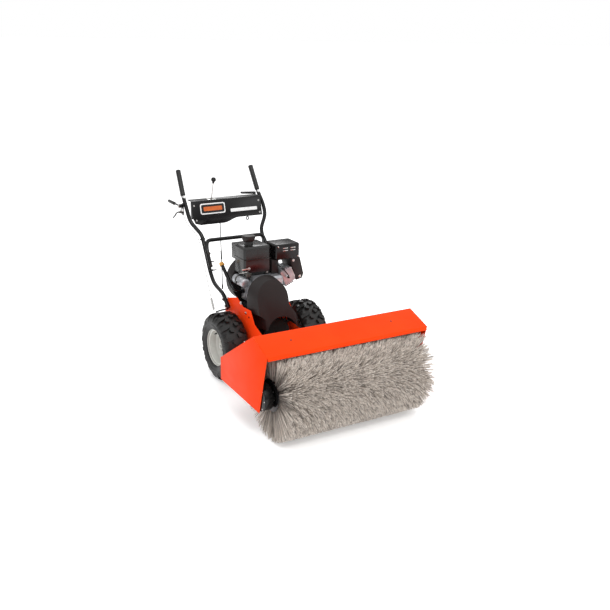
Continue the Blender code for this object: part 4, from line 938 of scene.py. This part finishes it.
def tank_and_muffler():
    """Two-part tank with its seam and cap, and the guarded muffler beside it."""
    skin("fuel_tank", TANK, 0.005, 3, 50)
    low, high = at(-0.146, -0.012, 0.6203), at(0.033, 0.127, 0.797)
    seam = 0.722
    lip = block((low.x - 0.0025, low.y - 0.003, seam - 0.0022),
                (high.x + 0.0012, high.y, seam + 0.0022), 0.001)
    piece("tank_seam", lip, TANK)
    # painted reflection: a dark red panel low on the tank front for the orange hood seen in the glossy
    # black tank
    panel = block((low.x + 0.01, low.y - 0.0014, 0.642), (high.x - 0.012, low.y + 0.002, 0.712), 0.0012)
    piece("tank_shade_panel", panel, MAROON)
    straps = [block((x - 0.008, low.y - 0.0032, 0.629), (x + 0.008, low.y + 0.001, 0.64), 0.0008)
              for x in (low.x + 0.022, high.x - 0.03)]
    spots = [(x, low.y - 0.003, 0.6345) for x in (low.x + 0.022, high.x - 0.03)]
    piece("tank_brackets", straps, DARK_STEEL)
    bolts("tank_bolts", spots, (0, -1, 0), 0.0042, 0.0028, False)
    # cap with a ribbed skirt
    low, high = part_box("fuel_cap")
    cx, cy = (low.x + high.x) / 2, (low.y + high.y) / 2
    skirt = high.z - 0.036
    lid = [(0, low.z), (0.0185, low.z), (0.0185, skirt), (0.03, skirt), (0.036, skirt + 0.008),
           (0.0395, skirt + 0.018), (0.0395, skirt + 0.031), (0.036, skirt + 0.0345), (0.02, skirt + 0.036),
           (0.018, skirt + 0.0345), (0, skirt + 0.0345)]
    cap = [turned(lid, "Z", (cx, cy, 0), 56)]
    ridges = 28
    for i in range(ridges):
        a = 2 * pi * i / ridges
        spot = Vector((cx + 0.0393 * cos(a), cy + 0.0393 * sin(a), skirt + 0.019))
        cap.append(rod(spot, spot + Vector((0, 0, 0.011)), 0.0016, 8))
    piece("fuel_cap_ribbed", cap, PLASTIC, "fuel_cap", ("fuel_cap",), 30)

    skin("muffler", BLACK, 0.0045, 3, 50)
    near, far = at(0.046, -0.05, 0.706), at(0.209, 0.09, 0.802)
    slots = []
    for x in (near.x + 0.046, near.x + 0.098):
        for z in (0.76, 0.775):
            slots.append(block((x, near.y - 0.0014, z), (x + 0.034, near.y + 0.001, z + 0.005), 0.001))
    piece("muffler_slots", slots, STEEL)
    presses = [block((near.x + 0.016, near.y + 0.02 + 0.021 * i, far.z - 0.0008),
                     (far.x - 0.016, near.y + 0.03 + 0.021 * i, far.z + 0.0012), 0.0009) for i in range(5)]
    piece("muffler_ridges", presses, BLACK)
    spots = [(x, near.y - 0.0002, z) for x, z in ((near.x + 0.014, 0.79), (far.x - 0.014, 0.722))]
    bolts("muffler_bolts", spots, (0, -1, 0), 0.005, 0.003, False)
    skin("side_shroud", PLASTIC, 0.003, 3, 50)
    heads = [bolt(at(x, -0.0302, z), (0, -1, 0), radius)
             for x, z, radius in ((0.222, 0.585, 0.0055), (0.176, 0.69, 0.005))]
    piece("shroud_bolts", heads, STEEL)


def starters():
    """Blower housing and recoil starter, electric starter, oil filler, throttle and carburettor."""
    skin("blower_housing", PLASTIC, 0.003, 3, 50)
    centre = at(-0.02, 0, 0.551)
    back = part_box("blower_housing")[1].y
    # painted shade: darker rods round the recoil cup stand for the dark of its slots
    slots = []
    spokes = 20
    for i in range(spokes):
        a = 2 * pi * i / spokes
        out = Vector((cos(a), 0, sin(a)))
        spot = Vector((centre.x, back - 0.0005, centre.z))
        slots.append(rod(spot + out * 0.042, spot + out * 0.076, 0.0034, 10))
    piece("recoil_slots", slots, TANK)
    spots = [(centre.x + 0.112 * cos(a), back - 0.026, centre.z + 0.112 * sin(a))
             for a in np.radians((40, 140, 200, 340))]
    bolts("recoil_bolts", spots, (0, 1, 0), 0.0055)
    skin("recoil_handle", TANK, 0.003, 3, 50)

    low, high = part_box("electric_starter")
    centre = (low + high) / 2
    axis = (centre.x, 0, centre.z)
    shell = [(0.0, low.y), (0.015, low.y), (0.0205, low.y + 0.0012), (0.0265, low.y + 0.005),
             (0.0282, low.y + 0.01), (0.0282, low.y + 0.034), (0.027, low.y + 0.035),
             (0.027, low.y + 0.039), (0.0288, low.y + 0.04), (0.0288, high.y), (0.0, high.y)]
    piece("starter_shell", turned(shell, "Y", axis, 56), ALLOY, "chassis", ("electric_starter",), 30)
    spots = [(centre.x + 0.0185 * cos(a), low.y + 0.002, centre.z + 0.0185 * sin(a))
             for a in (0.7, 3.84)]
    bolts("starter_studs", spots, (0, -1, 0), 0.0034, 0.0024, False)
    strap = turned([(0.0289, high.y - 0.05), (0.0305, high.y - 0.05), (0.0305, high.y - 0.038),
                    (0.0289, high.y - 0.038)], "Y", axis, 40)
    piece("starter_strap", strap, DARK_STEEL)
    skin("starter_button", GRIP, 0.001, 2, 50)

    fill = [at(*p) for p in ((-0.1043, 0.075, 0.505), (-0.125, 0.075, 0.505), (-0.176, 0.09, 0.526),
                             (-0.198, 0.185, 0.65))]
    bar("filler_pipe", rounded_path(fill, 0.03, 8), 0.011, BLACK, "chassis", ("oil_filler_tube",), 5)
    skin("dipstick", YELLOW, 0.0022, 3, 50)
    skin("throttle_lever", STEEL, 0.0006)
    # governor link and carburettor body beside the tank
    bar("governor_link", rounded_path([at(-0.116, -0.016, 0.64), at(-0.128, -0.02, 0.652),
                                       at(-0.16, -0.01, 0.646), at(-0.168, 0.02, 0.64)], 0.006),
        0.0016, STEEL)
    body = joined(block(at(-0.143, -0.04, 0.6225), at(-0.112, -0.014, 0.648), 0.003),
                  rod(at(-0.128, -0.05, 0.634), at(-0.128, -0.04, 0.634), 0.008, 20, width=0.001))
    piece("carburettor", body, DARK_STEEL)


# ---------------------------------------------------------------- the pieces in order
camera()
studio()
brush_rows()
for word, side in SIDES:
    tyre(word)
    rim(word, side)
hood()
head()
chassis()
belt_cover()
handles()
dash()
controls()
cable()
crankcase()
tank_and_muffler()
starters()

# nodes that show as the CAD has them and lie in the dark behind the belt cover; they get near-black steel
# as painted shade
UNDER_COVER = ("engine_pulley", "brush_drive_shaft", "friction_disc", "friction_wheel", "hex_shaft")
NODE_SLOT = {row["node"]: row["material_slot"] for row in frame["record"]["subparts"]}
for name, obj in frame["nodes"].items():
    if not obj.hide_render:
        for slot in obj.material_slots:
            slot.material = SHADE_STEEL if name in UNDER_COVER else FIRST_IN[NODE_SLOT[name]]
